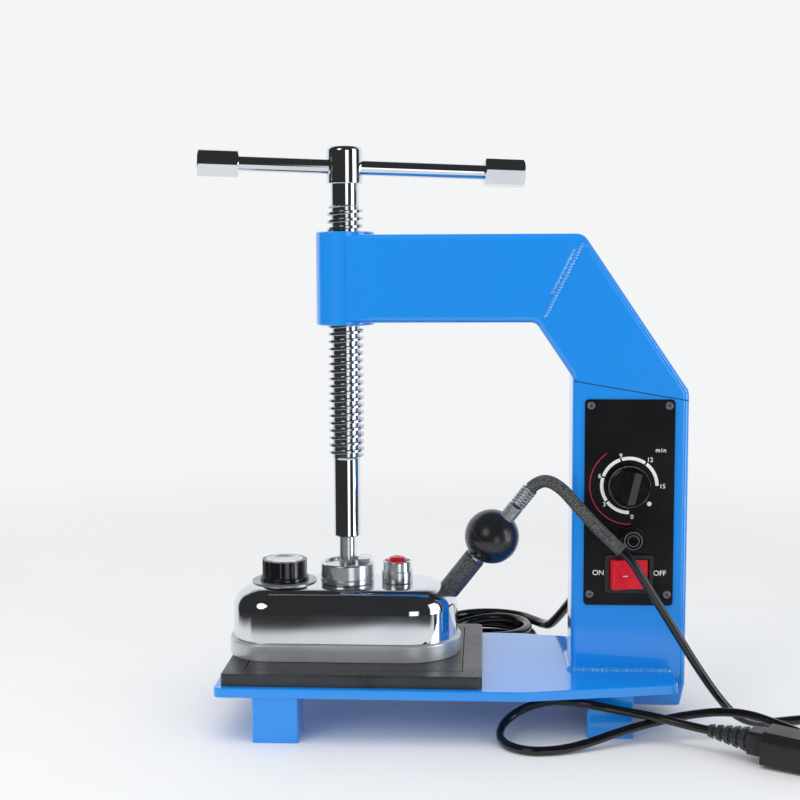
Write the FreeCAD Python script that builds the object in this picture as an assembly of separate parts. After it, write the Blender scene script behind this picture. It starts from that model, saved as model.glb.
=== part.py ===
import FreeCAD, Part
import math
import os

# Bench tire vulcanizing machine: a welded C-frame carries a lead screw that lowers a heated press head
# onto a rubber work pad. Sizes are in millimetres. X runs from the screw to the column, Y to the back,
# Z up from the bench. Distances along X are taken from the screw's axis; the finished pieces are
# shifted together at the end so that the origin lies under the middle of the machine.

Vector = FreeCAD.Vector
UP = Vector(0, 0, 1)
FRONT = Vector(0, -1, 0)

# Clearances
RUN_FIT = 0.06
SEAT = 0.1
BODY_GAP = 0.3

# Base plate and feet
LEG_HEIGHT = 30.0
LEG_SIDE = 30.0
LEG_EDGE = 2.0
LEG_LEFT_INSET = 25.0
LEG_LEFT_SETBACK = 1.0
LEG_RIGHT_INSET = 9.0
LEG_COLUMN_GAP = 1.0
PLATE_THICK = 6.0
PLATE_LEFT = 81.0
PLATE_RIGHT = 218.5
PLATE_HALF = 72.0
PLATE_TAPER_X = 119.0
PLATE_END_HALF = 51.0
PLATE_CORNER = 5.0
PLATE_EDGE = 0.8

# Welded frame
SHEET = 3.0
BEND = 4.0
FRAME_HALF = 21.0
COLUMN_LEFT = 151.0
COLUMN_WIDTH = 76.0
COLUMN_BOTTOM = 13.0
COLUMN_CUT_RISE = 14.0
COLUMN_CUT_RUN = 3.0
ARM_BOTTOM = 268.0
ARM_HEIGHT = 58.0
TAPER_END = 20.0
ARM_START = 2.5
BOSS_STEP = 0.5
ELBOW_LEAN = 34.0
ELBOW_WIDTH = 58.0
INNER_KNEE_Z = 232.0
KNEE_RADIUS = 9.0
INNER_KNEE_RADIUS = 6.0
SEAM_LEFT_Z = 230.0
SEAM_RIGHT_Z = 217.0
BOSS_RADIUS = 19.6
BOSS_WALL = 3.6
BOSS_PROUD = 2.0

# Work pad
PAD_LEFT = 77.0
PAD_RIGHT = 92.0
PAD_HALF = 67.5
PAD_HEIGHT = 8.0
PAD_CORNER = 4.0
WORK_LEFT = 62.5
WORK_RIGHT = 79.0
WORK_HALF = 54.5
WORK_DEPTH = 6.0
PAD_GROOVE = 0.5

# Lead screw
SCREW_RADIUS = 11.9
SCREW_BOTTOM = 176.0
SCREW_TOP = 345.7
SCREW_BEVEL = 1.2
NECK_RADIUS = 9.5
NECK_HEIGHT = 13.9
SPINDLE_RADIUS = 9.2
SPINDLE_BOTTOM = 122.3
TIP_RADIUS = 5.6
HUB_RADIUS = 12.0
HUB_HEIGHT = 24.6
HUB_DOME = 3.0
HUB_PIN_RADIUS = 2.0

# T-bar
BAR_RADIUS = 5.0
BAR_HOLE_RADIUS = 5.5
BAR_HEIGHT_IN_HUB = 10.9
BAR_LEFT = 97.0
BAR_RIGHT = 120.8
BAR_TURN = 9.0
BAR_TILT = 1.97
NUT_FLATS = 17.0
NUT_LENGTH = 27.0
NUT_BEVEL = 1.2

# Press head
SOLE_LEFT = 79.5
SOLE_RIGHT = 77.5
SOLE_HALF = 38.5
SOLE_LEFT_CORNER = 29.0
SOLE_RIGHT_CORNER = 38.0
SOLE_THICK = 11.3
SOLE_EDGE = 1.5
DOME_INSET = 2.6
DOME_HEIGHT = 34.8
DOME_SHOULDER = 15.0
DOME_SHEET = 1.5
ELEMENT_RADIUS = 4.0
ELEMENT_HALF = 26.0
ELEMENT_LENGTH = 70.0
POST_RADIUS = 9.0
BOSS_CUP_RADIUS = 18.4
BOSS_CUP_HEIGHT = 14.0
BOSS_CUP_LIP = 3.2
CUP_FOOT = 3.2
CUP_CLIP_INSET = 1.8
CUP_CLIP_RISE = 3.2
CUP_CLIP_FROM = 7.8
CUP_CLIP_HALF = 9.0
TIP_RING_RADIUS = 8.0
TIP_RING_HEIGHT = 2.4

# Thermostat on the head
THERMO_X = -43.5
DIAL_RADIUS = 22.0
DIAL_THICK = 0.8
THERMO_BODY_RADIUS = 13.0
THERMO_BODY_HEIGHT = 20.0
SHAFT_RADIUS = 3.0
KNOB_RADIUS = 15.3
KNOB_SKIRT_RADIUS = 16.6
KNOB_SKIRT_HEIGHT = 3.0
KNOB_HEIGHT = 14.2
KNOB_FLUTES = 12
KNOB_FLUTE_RADIUS = 1.35
CAP_RADIUS = 12.6
CAP_THICK = 0.8

# Pilot lamp on the head
LAMP_X = 34.0
LAMP_RADIUS = 9.8
LAMP_HEIGHT = 15.0
LAMP_WALL = 1.4
LAMP_SKIRT = 0.9
LAMP_BODY_RADIUS = 5.5
LAMP_BODY_DEPTH = 14.0
LENS_RADIUS = 7.2
LENS_DOME = 3.4

# Handle on the head
HANDLE_X = 67.4
HANDLE_Z = 82.8
HANDLE_RISE = 51.5
HANDLE_TURN = 21.5
FOOT_RADIUS = 5.6
FOOT_LENGTH = 10.0
FOOT_PROUD = 3.0
GRIP_RADIUS = 7.3
GRIP_LENGTH = 31.3
COLLAR_RADIUS = 6.0
COLLAR_LENGTH = 2.4
BALL_RADIUS = 18.2
BALL_CENTRE = 53.5
FERRULE_RADIUS = 5.2
FERRULE_LENGTH = 12.0
SPRING_RADIUS = 4.45
SPRING_WIRE = 0.8
SPRING_PITCH = 2.4
SPRING_TURNS = 6

# Control panel
PANEL_LEFT = COLUMN_LEFT + 8.0
PANEL_WIDTH = 58.6
PANEL_BOTTOM = 81.0
PANEL_HEIGHT = 137.0
PANEL_THICK = 1.2
PANEL_CORNER = 2.5
WINDOW_SIDE = 8.0
WINDOW_END = 8.0
SCREW_INSET = 3.9
SCREW_TOP_INSET = 4.0
SCREW_LOW_INSET = 7.5
SCREW_HEAD_RADIUS = 2.6
SCREW_HEAD_HEIGHT = 1.4
SCREW_SHANK_RADIUS = 1.5
SCREW_SHANK = 8.0
TIMER_X = PANEL_LEFT + 28.9
TIMER_Z = 161.3
TIMER_WIDTH = 40.0
TIMER_HEIGHT = 48.0
TIMER_DEPTH = 26.0
TIMER_BUSH_RADIUS = 4.6
TIMER_BUSH = 2.2
TIMER_KNOB_RADIUS = 13.8
TIMER_KNOB_HEIGHT = 9.6
POINTER_WIDTH = 5.2
POINTER_HEIGHT = 2.4
SWITCH_X = PANEL_LEFT + 29.65
SWITCH_Z = 102.35
BEZEL_WIDTH = 32.0
BEZEL_HEIGHT = 25.5
BEZEL_PROUD = 2.0
BEZEL_RIM = 2.8
SWITCH_SIDE_RIM = 2.7
SWITCH_DEPTH = 21.0
ROCKER_RADIUS = 12.9
ROCKER_TILT = 10.0
ROCKER_END_RISE = 3.2
ROCKER_MID_RISE = 1.4
ROCKER_PIVOT_DEPTH = 4.0
ROCKER_PIN_RADIUS = 1.5
ROCKER_SIDE_GAP = 0.35
FUSE_X = PANEL_LEFT + 31.6
FUSE_Z = 125.8
FUSE_FLANGE_RADIUS = 8.0
FUSE_TUBE_RADIUS = 6.2
FUSE_BORE_RADIUS = 4.9
FUSE_LENGTH = 34.0
FUSE_CAP_RADIUS = 7.5
FUSE_CAP_HEIGHT = 7.0
FUSE_RADIUS = 2.6
FUSE_LINK = 20.0

# Mains side
BLOCK_SIZE = (26.0, 10.0, 12.0)
BLOCK_X = COLUMN_LEFT + 41.0
BLOCK_Z = 56.0
GLAND_X = COLUMN_LEFT + 12.0
GLAND_Z = 72.5
GLAND_HEAD_RADIUS = 8.5
GLAND_HEAD = 5.0
GLAND_NECK_RADIUS = 6.0
GLAND_TAIL = 22.0
MAINS_RADIUS = 3.5
COIL_X = 95.0
COIL_Y = 124.0
COIL_TURN = 25.0
COIL_INNER = 31.2
COIL_STEP = 9.4
COIL_LAYER = 8.0
COIL_LAYERS = 4
FLOOR_GAP = 0.2

# Head lead
SLEEVE_RADIUS = 4.25
LEAD_RADIUS = 2.8
PLUG_WIDTH = 27.0
PLUG_HEIGHT = 20.0
PLUG_LENGTH = 44.0
PLUG_RELIEF = 27.0
PLUG_RIBS = 5
PLUG_SLOT_DEPTH = 15.0
PLUG_BODY_RADIUS = 13.0
PLUG_BODY_LENGTH = 38.0
PLUG_PIN_RADIUS = 2.4
PLUG_PIN_LENGTH = 19.0
PLUG_PIN_APART = 9.5
PLUG_TAIL_ROUTE = [(6.0, 131.0, 13.2), (14.0, 131.0, 13.2), (27.0, 133.5, 9.6), (42.0, 140.5, 4.4)]
MAINS_ROUTE = [(161.5, 69.5, 67.5), (156.5, 83.5, 56.5), (150.0, 98.0, 43.5), (143.5, 112.5, 31.8)]
SLEEVE_ROUTE = [(127.8, -23.9, 163.0), (134.8, -27.9, 165.4), (144.0, -33.2, 160.6), (153.6, -38.4, 150.0),
                (167.0, -43.0, 135.5), (181.5, -46.0, 122.5)]
LEAD_ROUTE = [(181.72, -46.05, 122.3), (187.4, -47.2, 117.2), (195.0, -48.0, 104.8), (205.3, -47.7, 88.0),
              (217.5, -46.0, 68.5), (230.0, -44.0, 48.0), (243.0, -40.5, 28.5),
              (257.0, -35.5, 11.0), (273.5, -28.5, 3.4),
              (294.0, -19.0, 3.0), (315.0, -13.5, 3.0), (336.0, -19.0, 3.0), (348.0, -37.0, 3.0),
              (342.5, -57.0, 3.0), (323.0, -65.0, 3.6), (303.0, -63.0, 6.0), (284.0, -57.0, 12.0),
              (264.0, -50.5, 17.5), (245.5, -48.5, 18.0), (228.0, -50.0, 16.5), (210.0, -54.0, 14.0),
              (193.0, -60.0, 11.5), (176.5, -67.0, 8.5), (158.5, -76.0, 4.8), (139.5, -84.5, 3.0),
              (119.5, -87.0, 3.0), (104.5, -73.0, 3.0), (103.0, -53.0, 6.5), (115.5, -38.5, 13.5),
              (133.0, -41.5, 21.0), (148.5, -54.5, 25.2), (164.5, -60.0, 24.5), (180.0, -58.8, 21.0),
              (195.0, -58.5, 18.5), (209.5, -61.0, 16.3), (223.0, -67.0, 14.4), (235.0, -73.5, 13.8)]
CORD_NODES = ("mains_lead", "mains_coil", "mains_plug", "plug_pins", "head_lead",
              "connector_relief", "connector_body", "lead_sleeve")

ROOT_TOP = LEG_HEIGHT + PLATE_THICK
PAD_TOP = ROOT_TOP + PAD_HEIGHT
HEAD_BOTTOM = PAD_TOP + BODY_GAP
SOLE_TOP = HEAD_BOTTOM + SOLE_THICK
DOME_TOP = SOLE_TOP + DOME_HEIGHT
CUP_TOP = DOME_TOP + BOSS_CUP_HEIGHT
ARM_TOP = ARM_BOTTOM + ARM_HEIGHT
COLUMN_RIGHT = COLUMN_LEFT + COLUMN_WIDTH
HUB_BOTTOM = SCREW_TOP + NECK_HEIGHT
BAR_Z = HUB_BOTTOM + BAR_HEIGHT_IN_HUB
PANEL_FACE = -FRAME_HALF - PANEL_THICK


def unit(vector):
    """The vector at length one."""
    return vector * (1.0 / vector.Length)


def corner_edges(corners, to_point, closed=True):
    """Straight edges through corners (u, v, radius), with a tangent arc at each radius."""
    points = [to_point(u, v) for u, v, radius in corners]
    count = len(points)
    starts, ends, middles = [], [], []
    for i in range(count):
        radius = corners[i][2]
        point = points[i]
        if radius == 0 or (not closed and i in (0, count - 1)):
            starts.append(point)
            ends.append(point)
            middles.append(None)
            continue
        back = unit(points[i - 1] - point)
        ahead = unit(points[(i + 1) % count] - point)
        half = back.getAngle(ahead) / 2
        reach = radius / math.tan(half)
        inward = unit(back + ahead)
        starts.append(point + back * reach)
        ends.append(point + ahead * reach)
        middles.append(point + inward * (radius / math.sin(half) - radius))
    edges = []
    for i in range(count):
        if middles[i] is not None:
            edges.append(Part.Arc(starts[i], middles[i], ends[i]).toShape())
        if i == count - 1 and not closed:
            break
        begin, finish = ends[i], starts[(i + 1) % count]
        if (finish - begin).Length > 1e-6:
            edges.append(Part.LineSegment(begin, finish).toShape())
    return edges


def loop_face(corners, to_point):
    """Flat face inside a closed loop of rounded corners."""
    return Part.Face(Part.Wire(corner_edges(corners, to_point)))


def level_slab(corners, low, high):
    """Outline in X and Y, raised from one height to another."""
    face = loop_face(corners, lambda x, y: Vector(x, y, low))
    return face.extrude(Vector(0, 0, high - low))


def upright_slab(corners, front, back):
    """Outline in X and Z, drawn from a front face to a back face."""
    face = loop_face(corners, lambda x, z: Vector(x, front, z))
    return face.extrude(Vector(0, back - front, 0))


def turned(corners):
    """Solid of revolution about Z from an outline of (radius, height, corner radius)."""
    face = loop_face(corners, lambda r, z: Vector(r, 0, z))
    return face.revolve(Vector(0, 0, 0), UP, 360)


def aimed(shape, place, direction):
    """Copy of a shape made along Z, set at a place and turned to a direction."""
    copy = shape.copy()
    copy.Placement = FreeCAD.Placement(place, FreeCAD.Rotation(UP, direction)).multiply(copy.Placement)
    return copy


def laid(shape, place, direction):
    """Copy of a shape made along Z, laid along a direction with its X level."""
    level = unit(direction.cross(UP))
    copy = shape.copy()
    turn = FreeCAD.Rotation(level, direction.cross(level), direction, "ZXY")
    copy.Placement = FreeCAD.Placement(place, turn).multiply(copy.Placement)
    return copy


def moved(shape, x=0.0, y=0.0, z=0.0):
    """Copy of a shape, shifted."""
    copy = shape.copy()
    copy.translate(Vector(x, y, z))
    return copy


def rod(radius, low, high, x=0.0, y=0.0):
    """Upright cylinder between two heights."""
    return Part.makeCylinder(radius, high - low, Vector(x, y, low))


def bolt_in(radius, x, z, front, back):
    """Cylinder along Y between two depths."""
    return Part.makeCylinder(radius, back - front, Vector(x, front, z), Vector(0, 1, 0))


def block(x0, x1, y0, y1, z0, z1):
    """Rectangular block between its limits."""
    return Part.makeBox(x1 - x0, y1 - y0, z1 - z0, Vector(x0, y0, z0))


def mirror_y(shape):
    """Copy of a shape on the other side of the machine's middle plane."""
    return shape.mirror(Vector(0, 0, 0), Vector(0, 1, 0))


def one_solid(shape):
    """The only solid of a shape."""
    solids = shape.Solids
    if len(solids) != 1:
        raise ValueError("expected one solid, found %d" % len(solids))
    return solids[0]


def edges_where(shape, test):
    """Edges whose middle point passes a test."""
    found = []
    for edge in shape.Edges:
        middle = edge.valueAt((edge.FirstParameter + edge.LastParameter) / 2)
        if test(middle):
            found.append(edge)
    return found


# Welded frame
def frame_corners():
    """Side outline of arm, elbow and column, from the nose round to the foot."""
    lean = math.radians(ELBOW_LEAN)
    inner_x = COLUMN_LEFT - (ARM_BOTTOM - INNER_KNEE_Z) * math.tan(lean)
    shift_x = ELBOW_WIDTH * math.cos(lean)
    shift_z = ELBOW_WIDTH * math.sin(lean)
    outer_x = inner_x + shift_x - (ARM_TOP - ARM_BOTTOM - shift_z) * math.tan(lean)
    outer_z = INNER_KNEE_Z + shift_z - (COLUMN_RIGHT - COLUMN_LEFT - shift_x) / math.tan(lean)
    corners = [
        (ARM_START, ARM_BOTTOM, 0),
        (inner_x, ARM_BOTTOM, INNER_KNEE_RADIUS),
        (COLUMN_LEFT, INNER_KNEE_Z, INNER_KNEE_RADIUS),
        (COLUMN_LEFT, COLUMN_BOTTOM, 0),
        (COLUMN_RIGHT - COLUMN_CUT_RUN, COLUMN_BOTTOM, 0),
        (COLUMN_RIGHT, COLUMN_BOTTOM + COLUMN_CUT_RISE, 0),
        (COLUMN_RIGHT, outer_z, KNEE_RADIUS),
        (outer_x, ARM_TOP, KNEE_RADIUS),
        (ARM_START, ARM_TOP, 0),
    ]
    return corners, (inner_x, ARM_BOTTOM), (outer_x, ARM_TOP)


def cut_screw_holes(sheet):
    """Clearance holes for the panel's screws in the sheet behind it."""
    front, back = -FRAME_HALF - SHEET, -FRAME_HALF + SCREW_SHANK
    for x, z in panel_screw_places():
        sheet = sheet.cut(bolt_in(SCREW_SHANK_RADIUS + SEAT, x, z, front, back))
    return sheet


def cut_window_and_holes(column):
    """Opens the column behind the panel, for its screws and for the mains gland."""
    window = block(PANEL_LEFT + WINDOW_SIDE, PANEL_LEFT + PANEL_WIDTH - WINDOW_SIDE,
                   -FRAME_HALF - SEAT, -FRAME_HALF + SHEET + SEAT,
                   PANEL_BOTTOM + WINDOW_END, PANEL_BOTTOM + PANEL_HEIGHT - WINDOW_END)
    column = cut_screw_holes(column.cut(window))
    gland_hole = bolt_in(GLAND_NECK_RADIUS + SEAT, GLAND_X, GLAND_Z, FRAME_HALF - 2 * SHEET, FRAME_HALF + SHEET)
    return column.cut(gland_hole)


def boss_tapers():
    """Wedges taken off the arm's end, so its sides narrow to the round boss."""
    near, far = ARM_START - 5, FRAME_HALF + 5
    slope = (FRAME_HALF - BOSS_RADIUS - BOSS_STEP) / (TAPER_END - ARM_START)
    near_half = FRAME_HALF - slope * (TAPER_END - near)
    front = level_slab([(near, -near_half, 0), (TAPER_END, -FRAME_HALF, 0), (TAPER_END, -far, 0),
                        (near, -far, 0)], ARM_BOTTOM - 1, ARM_TOP + 1)
    return [front, mirror_y(front)]


def make_frame():
    """Arm, elbow and column as hollow sheet boxes that meet at their weld seams."""
    corners, inner_knee, outer_knee = frame_corners()
    outer = upright_slab(corners, -FRAME_HALF, FRAME_HALF)
    rims = edges_where(outer, lambda p: abs(abs(p.y) - FRAME_HALF) < 1e-4 and p.x > TAPER_END + 1
                       and p.z > COLUMN_BOTTOM + 1)
    outer = outer.makeFillet(BEND, rims)
    outer = outer.cut(boss_tapers())
    open_ended = [(0, ARM_BOTTOM, 0)] + corners[1:-1] + [(0, ARM_TOP, 0)]
    wire = Part.Wire(corner_edges(open_ended, lambda x, z: Vector(x, -FRAME_HALF + SHEET, z)))
    inner_wire = wire.makeOffset2D(-SHEET)
    cavity = Part.Face(inner_wire).extrude(Vector(0, 2 * (FRAME_HALF - SHEET), 0))
    foot = block(COLUMN_LEFT + SHEET, COLUMN_RIGHT - SHEET - COLUMN_CUT_RUN, -FRAME_HALF + SHEET,
                 FRAME_HALF - SHEET, COLUMN_BOTTOM - 1, COLUMN_BOTTOM + 2 * SHEET)
    shell = outer.cut(cavity).cut(foot)
    shell = shell.cut(rod(BOSS_RADIUS + SEAT, ARM_BOTTOM - 5, ARM_TOP + 5))
    far = far_above()
    lean_x = (outer_knee[0] - inner_knee[0]) / (outer_knee[1] - inner_knee[1])
    low_x = inner_knee[0] - lean_x * (inner_knee[1] - SEAM_LEFT_Z)
    high_x = inner_knee[0] + lean_x * (far - inner_knee[1])
    arm_side = [(-far, SEAM_LEFT_Z, 0), (low_x, SEAM_LEFT_Z, 0), (high_x, far, 0), (-far, far, 0)]
    arm_half = upright_slab(arm_side, -FRAME_HALF - 1, FRAME_HALF + 1)
    fall = (SEAM_RIGHT_Z - SEAM_LEFT_Z) / COLUMN_WIDTH
    left_x, right_x = COLUMN_LEFT - 60, COLUMN_RIGHT + 60
    column_side = [(left_x, SEAM_LEFT_Z + fall * (left_x - COLUMN_LEFT), 0), (left_x, -10, 0),
                   (right_x, -10, 0), (right_x, SEAM_LEFT_Z + fall * (right_x - COLUMN_LEFT), 0)]
    column_half = upright_slab(column_side, -FRAME_HALF - 1, FRAME_HALF + 1)
    arm = one_solid(shell.common(arm_half).cut(column_half))
    elbow = one_solid(cut_screw_holes(shell.cut(arm_half).cut(column_half)))
    column = one_solid(cut_window_and_holes(shell.common(column_half)))
    return {"arm_box": arm, "elbow_box": elbow, "column_box": column}


def make_base():
    """Tapered plate with the column's notch, and its four feet."""
    notch = COLUMN_LEFT
    corners = [
        (-PLATE_LEFT, -PLATE_HALF, PLATE_CORNER),
        (PLATE_TAPER_X, -PLATE_HALF, PLATE_CORNER),
        (PLATE_RIGHT, -PLATE_END_HALF, PLATE_CORNER),
        (PLATE_RIGHT, -FRAME_HALF, 0),
        (notch, -FRAME_HALF, 0),
        (notch, FRAME_HALF, 0),
        (PLATE_RIGHT, FRAME_HALF, 0),
        (PLATE_RIGHT, PLATE_END_HALF, PLATE_CORNER),
        (PLATE_TAPER_X, PLATE_HALF, PLATE_CORNER),
        (-PLATE_LEFT, PLATE_HALF, PLATE_CORNER),
    ]
    plate = level_slab(corners, LEG_HEIGHT, ROOT_TOP)
    rim = edges_where(plate, lambda p: abs(p.z - ROOT_TOP) < 1e-4
                      and (abs(p.y) > FRAME_HALF + 1 or p.x < notch - 1))
    plate = plate.makeFillet(PLATE_EDGE, rim)
    nodes = {"base_plate": one_solid(plate)}
    left_x = -PLATE_LEFT + LEG_LEFT_INSET
    right_front = FRAME_HALF + LEG_COLUMN_GAP + LEG_SIDE
    places = {"left": (left_x, PLATE_HALF - LEG_LEFT_SETBACK),
              "right": (COLUMN_LEFT + LEG_RIGHT_INSET, right_front)}
    for side, (x, front) in places.items():
        leg = block(x, x + LEG_SIDE, -front, -front + LEG_SIDE, 0, LEG_HEIGHT)
        upright = edges_where(leg, lambda p: 1 < p.z < LEG_HEIGHT - 1)
        leg = leg.makeFillet(LEG_EDGE, upright)
        nodes["leg_front_" + side] = leg
        nodes["leg_back_" + side] = mirror_y(leg)
    return nodes


def make_boss():
    """Tube at the arm's end and the threaded bush pressed into it."""
    low, high = ARM_BOTTOM - BOSS_PROUD, ARM_TOP + BOSS_PROUD
    bore = BOSS_RADIUS - BOSS_WALL
    bevel = 0.8
    tube = turned([(bore, low, 0), (BOSS_RADIUS - bevel, low, 0), (BOSS_RADIUS, low + bevel, 0),
                   (BOSS_RADIUS, high - bevel, 0), (BOSS_RADIUS - bevel, high, 0), (bore, high, 0)])
    bush = rod(bore - SEAT / 2, ARM_BOTTOM, ARM_TOP).cut(rod(SCREW_RADIUS + RUN_FIT, 0, far_above()))
    return {"nose_boss": tube, "screw_nut": bush}


def far_above():
    """A height over everything."""
    return HUB_BOTTOM + HUB_HEIGHT + 50


def make_pad():
    """Rubber frame and the plate let into its top."""
    frame = level_slab([(-PAD_LEFT, -PAD_HALF, PAD_CORNER), (PAD_RIGHT, -PAD_HALF, PAD_CORNER),
                        (PAD_RIGHT, PAD_HALF, PAD_CORNER), (-PAD_LEFT, PAD_HALF, PAD_CORNER)],
                       ROOT_TOP, PAD_TOP)
    rim = edges_where(frame, lambda p: abs(p.z - PAD_TOP) < 1e-4)
    frame = frame.makeFillet(1.5, rim)
    grow = PAD_GROOVE
    recess = block(-WORK_LEFT - grow, WORK_RIGHT + grow, -WORK_HALF - grow, WORK_HALF + grow,
                   PAD_TOP - WORK_DEPTH, PAD_TOP + 1)
    plate = block(-WORK_LEFT, WORK_RIGHT, -WORK_HALF, WORK_HALF, PAD_TOP - WORK_DEPTH, PAD_TOP)
    plate = plate.makeFillet(0.4, edges_where(plate, lambda p: abs(p.z - PAD_TOP) < 1e-4))
    return {"pad_frame": one_solid(frame.cut(recess)), "work_plate": plate}


# Screw and T-bar
def bar_direction():
    """Unit vector along the T-bar, toward its right end."""
    turn, tilt = math.radians(BAR_TURN), math.radians(BAR_TILT)
    return Vector(math.cos(turn) * math.cos(tilt), math.sin(turn) * math.cos(tilt), -math.sin(tilt))


def make_screw():
    """Screw, its hub with the cross hole, the tip rod and the ring that keeps the tip in the cup."""
    bevel = SCREW_BEVEL
    seat = HUB_BOTTOM + 4
    screw = turned([(0, SPINDLE_BOTTOM, 0), (SPINDLE_RADIUS - bevel, SPINDLE_BOTTOM, 0),
                    (SPINDLE_RADIUS, SPINDLE_BOTTOM + bevel, 0), (SPINDLE_RADIUS, SCREW_BOTTOM, 0),
                    (SCREW_RADIUS - bevel, SCREW_BOTTOM, 0), (SCREW_RADIUS, SCREW_BOTTOM + bevel, 0),
                    (SCREW_RADIUS, SCREW_TOP - bevel, 0), (SCREW_RADIUS - bevel, SCREW_TOP, 0),
                    (NECK_RADIUS, SCREW_TOP, 0), (NECK_RADIUS, HUB_BOTTOM, 0),
                    (NECK_RADIUS - 3, HUB_BOTTOM, 0), (NECK_RADIUS - 3, seat, 0), (0, seat, 0)])
    socket = rod(TIP_RADIUS + SEAT, SPINDLE_BOTTOM - 1, SPINDLE_BOTTOM + 12)
    screw = screw.cut(socket)
    top = HUB_BOTTOM + HUB_HEIGHT
    hub = turned([(0, seat + SEAT, 0), (NECK_RADIUS - 3 + SEAT, seat + SEAT, 0),
                  (NECK_RADIUS - 3 + SEAT, HUB_BOTTOM, 0), (HUB_RADIUS, HUB_BOTTOM, 0.6),
                  (HUB_RADIUS, top, HUB_DOME), (0, top, 0)])
    turn = math.radians(BAR_TURN)
    flat_way = Vector(math.cos(turn), math.sin(turn), 0)
    centre = Vector(0, 0, BAR_Z)
    hole = Part.makeCylinder(BAR_HOLE_RADIUS, 4 * HUB_RADIUS, centre - flat_way * (2 * HUB_RADIUS), flat_way)
    hub = hub.cut(hole)
    tip_end = DOME_TOP + 4
    groove = tip_end + 3
    tip = turned([(0, tip_end, 0), (TIP_RADIUS, tip_end, 2.0), (TIP_RADIUS, groove, 0),
                  (TIP_RADIUS - 1.2, groove, 0), (TIP_RADIUS - 1.2, groove + TIP_RING_HEIGHT + 0.2, 0),
                  (TIP_RADIUS, groove + TIP_RING_HEIGHT + 0.2, 0), (TIP_RADIUS, SPINDLE_BOTTOM + 11.5, 0),
                  (0, SPINDLE_BOTTOM + 11.5, 0)])
    ring = rod(TIP_RING_RADIUS, groove + 0.1, groove + 0.1 + TIP_RING_HEIGHT)
    ring = ring.cut(rod(TIP_RADIUS - 1.2 + 0.05, groove - 1, groove + 2 * TIP_RING_HEIGHT))
    side_way = Vector(0, 1, 0)
    pin = Part.makeCylinder(HUB_PIN_RADIUS, 2 * SPINDLE_RADIUS - 0.4,
                            Vector(0, -SPINDLE_RADIUS + 0.2, SPINDLE_BOTTOM + 7), side_way)
    pin_hole = Part.makeCylinder(HUB_PIN_RADIUS + 0.05, 4 * SPINDLE_RADIUS,
                                 Vector(0, -2 * SPINDLE_RADIUS, SPINDLE_BOTTOM + 7), side_way)
    return {"lead_screw": one_solid(screw.cut(pin_hole)), "screw_hub": one_solid(hub),
            "tip_rod": one_solid(tip.cut(pin_hole)), "tip_ring": one_solid(ring), "tip_pin": pin}


def make_bar():
    """T-bar and the hexagon nuts on its ends."""
    way = bar_direction()
    centre = Vector(0, 0, BAR_Z)
    overlap = NUT_LENGTH * 0.7
    length = BAR_LEFT + BAR_RIGHT - 2 * (NUT_LENGTH - overlap)
    start = centre - way * (BAR_LEFT - NUT_LENGTH + overlap)
    bar = Part.makeCylinder(BAR_RADIUS, length, start, way)
    across = NUT_FLATS / 2 / math.cos(math.radians(30))
    six = [(across * math.cos(math.radians(60 * k + 30)), across * math.sin(math.radians(60 * k + 30)), 0)
           for k in range(6)]
    nut = level_slab(six, 0, NUT_LENGTH)
    trim = turned([(0, 0, 0), (across - NUT_BEVEL, 0, 0), (across + 0.2, NUT_BEVEL * 0.8, 0),
                   (across + 0.2, NUT_LENGTH - NUT_BEVEL * 0.8, 0), (across - NUT_BEVEL, NUT_LENGTH, 0),
                   (0, NUT_LENGTH, 0)])
    nut = nut.common(trim).cut(rod(BAR_RADIUS + SEAT, -1, overlap + SEAT))
    right = aimed(nut, centre + way * (BAR_RIGHT - NUT_LENGTH), way)
    left = aimed(nut, centre - way * (BAR_LEFT - NUT_LENGTH), way * -1)
    return {"tommy_bar": bar, "bar_nuts": Part.makeCompound([one_solid(left), one_solid(right)])}


# Press head
def head_outline(inset):
    """Plan outline of the press head, set in by an amount."""
    half = SOLE_HALF - inset
    left, right = -SOLE_LEFT + inset, SOLE_RIGHT - inset
    left_corner, right_corner = SOLE_LEFT_CORNER - inset, SOLE_RIGHT_CORNER - inset
    return [(left, -half, left_corner), (right, -half, right_corner),
            (right, half, right_corner), (left, half, left_corner)]


def domed(inset, low, high, shoulder):
    """Head outline raised to a flat top with a rounded shoulder."""
    body = level_slab(head_outline(inset), low, high)
    rim = edges_where(body, lambda p: abs(p.z - high) < 1e-4)
    return body.makeFillet(shoulder, rim)


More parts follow.
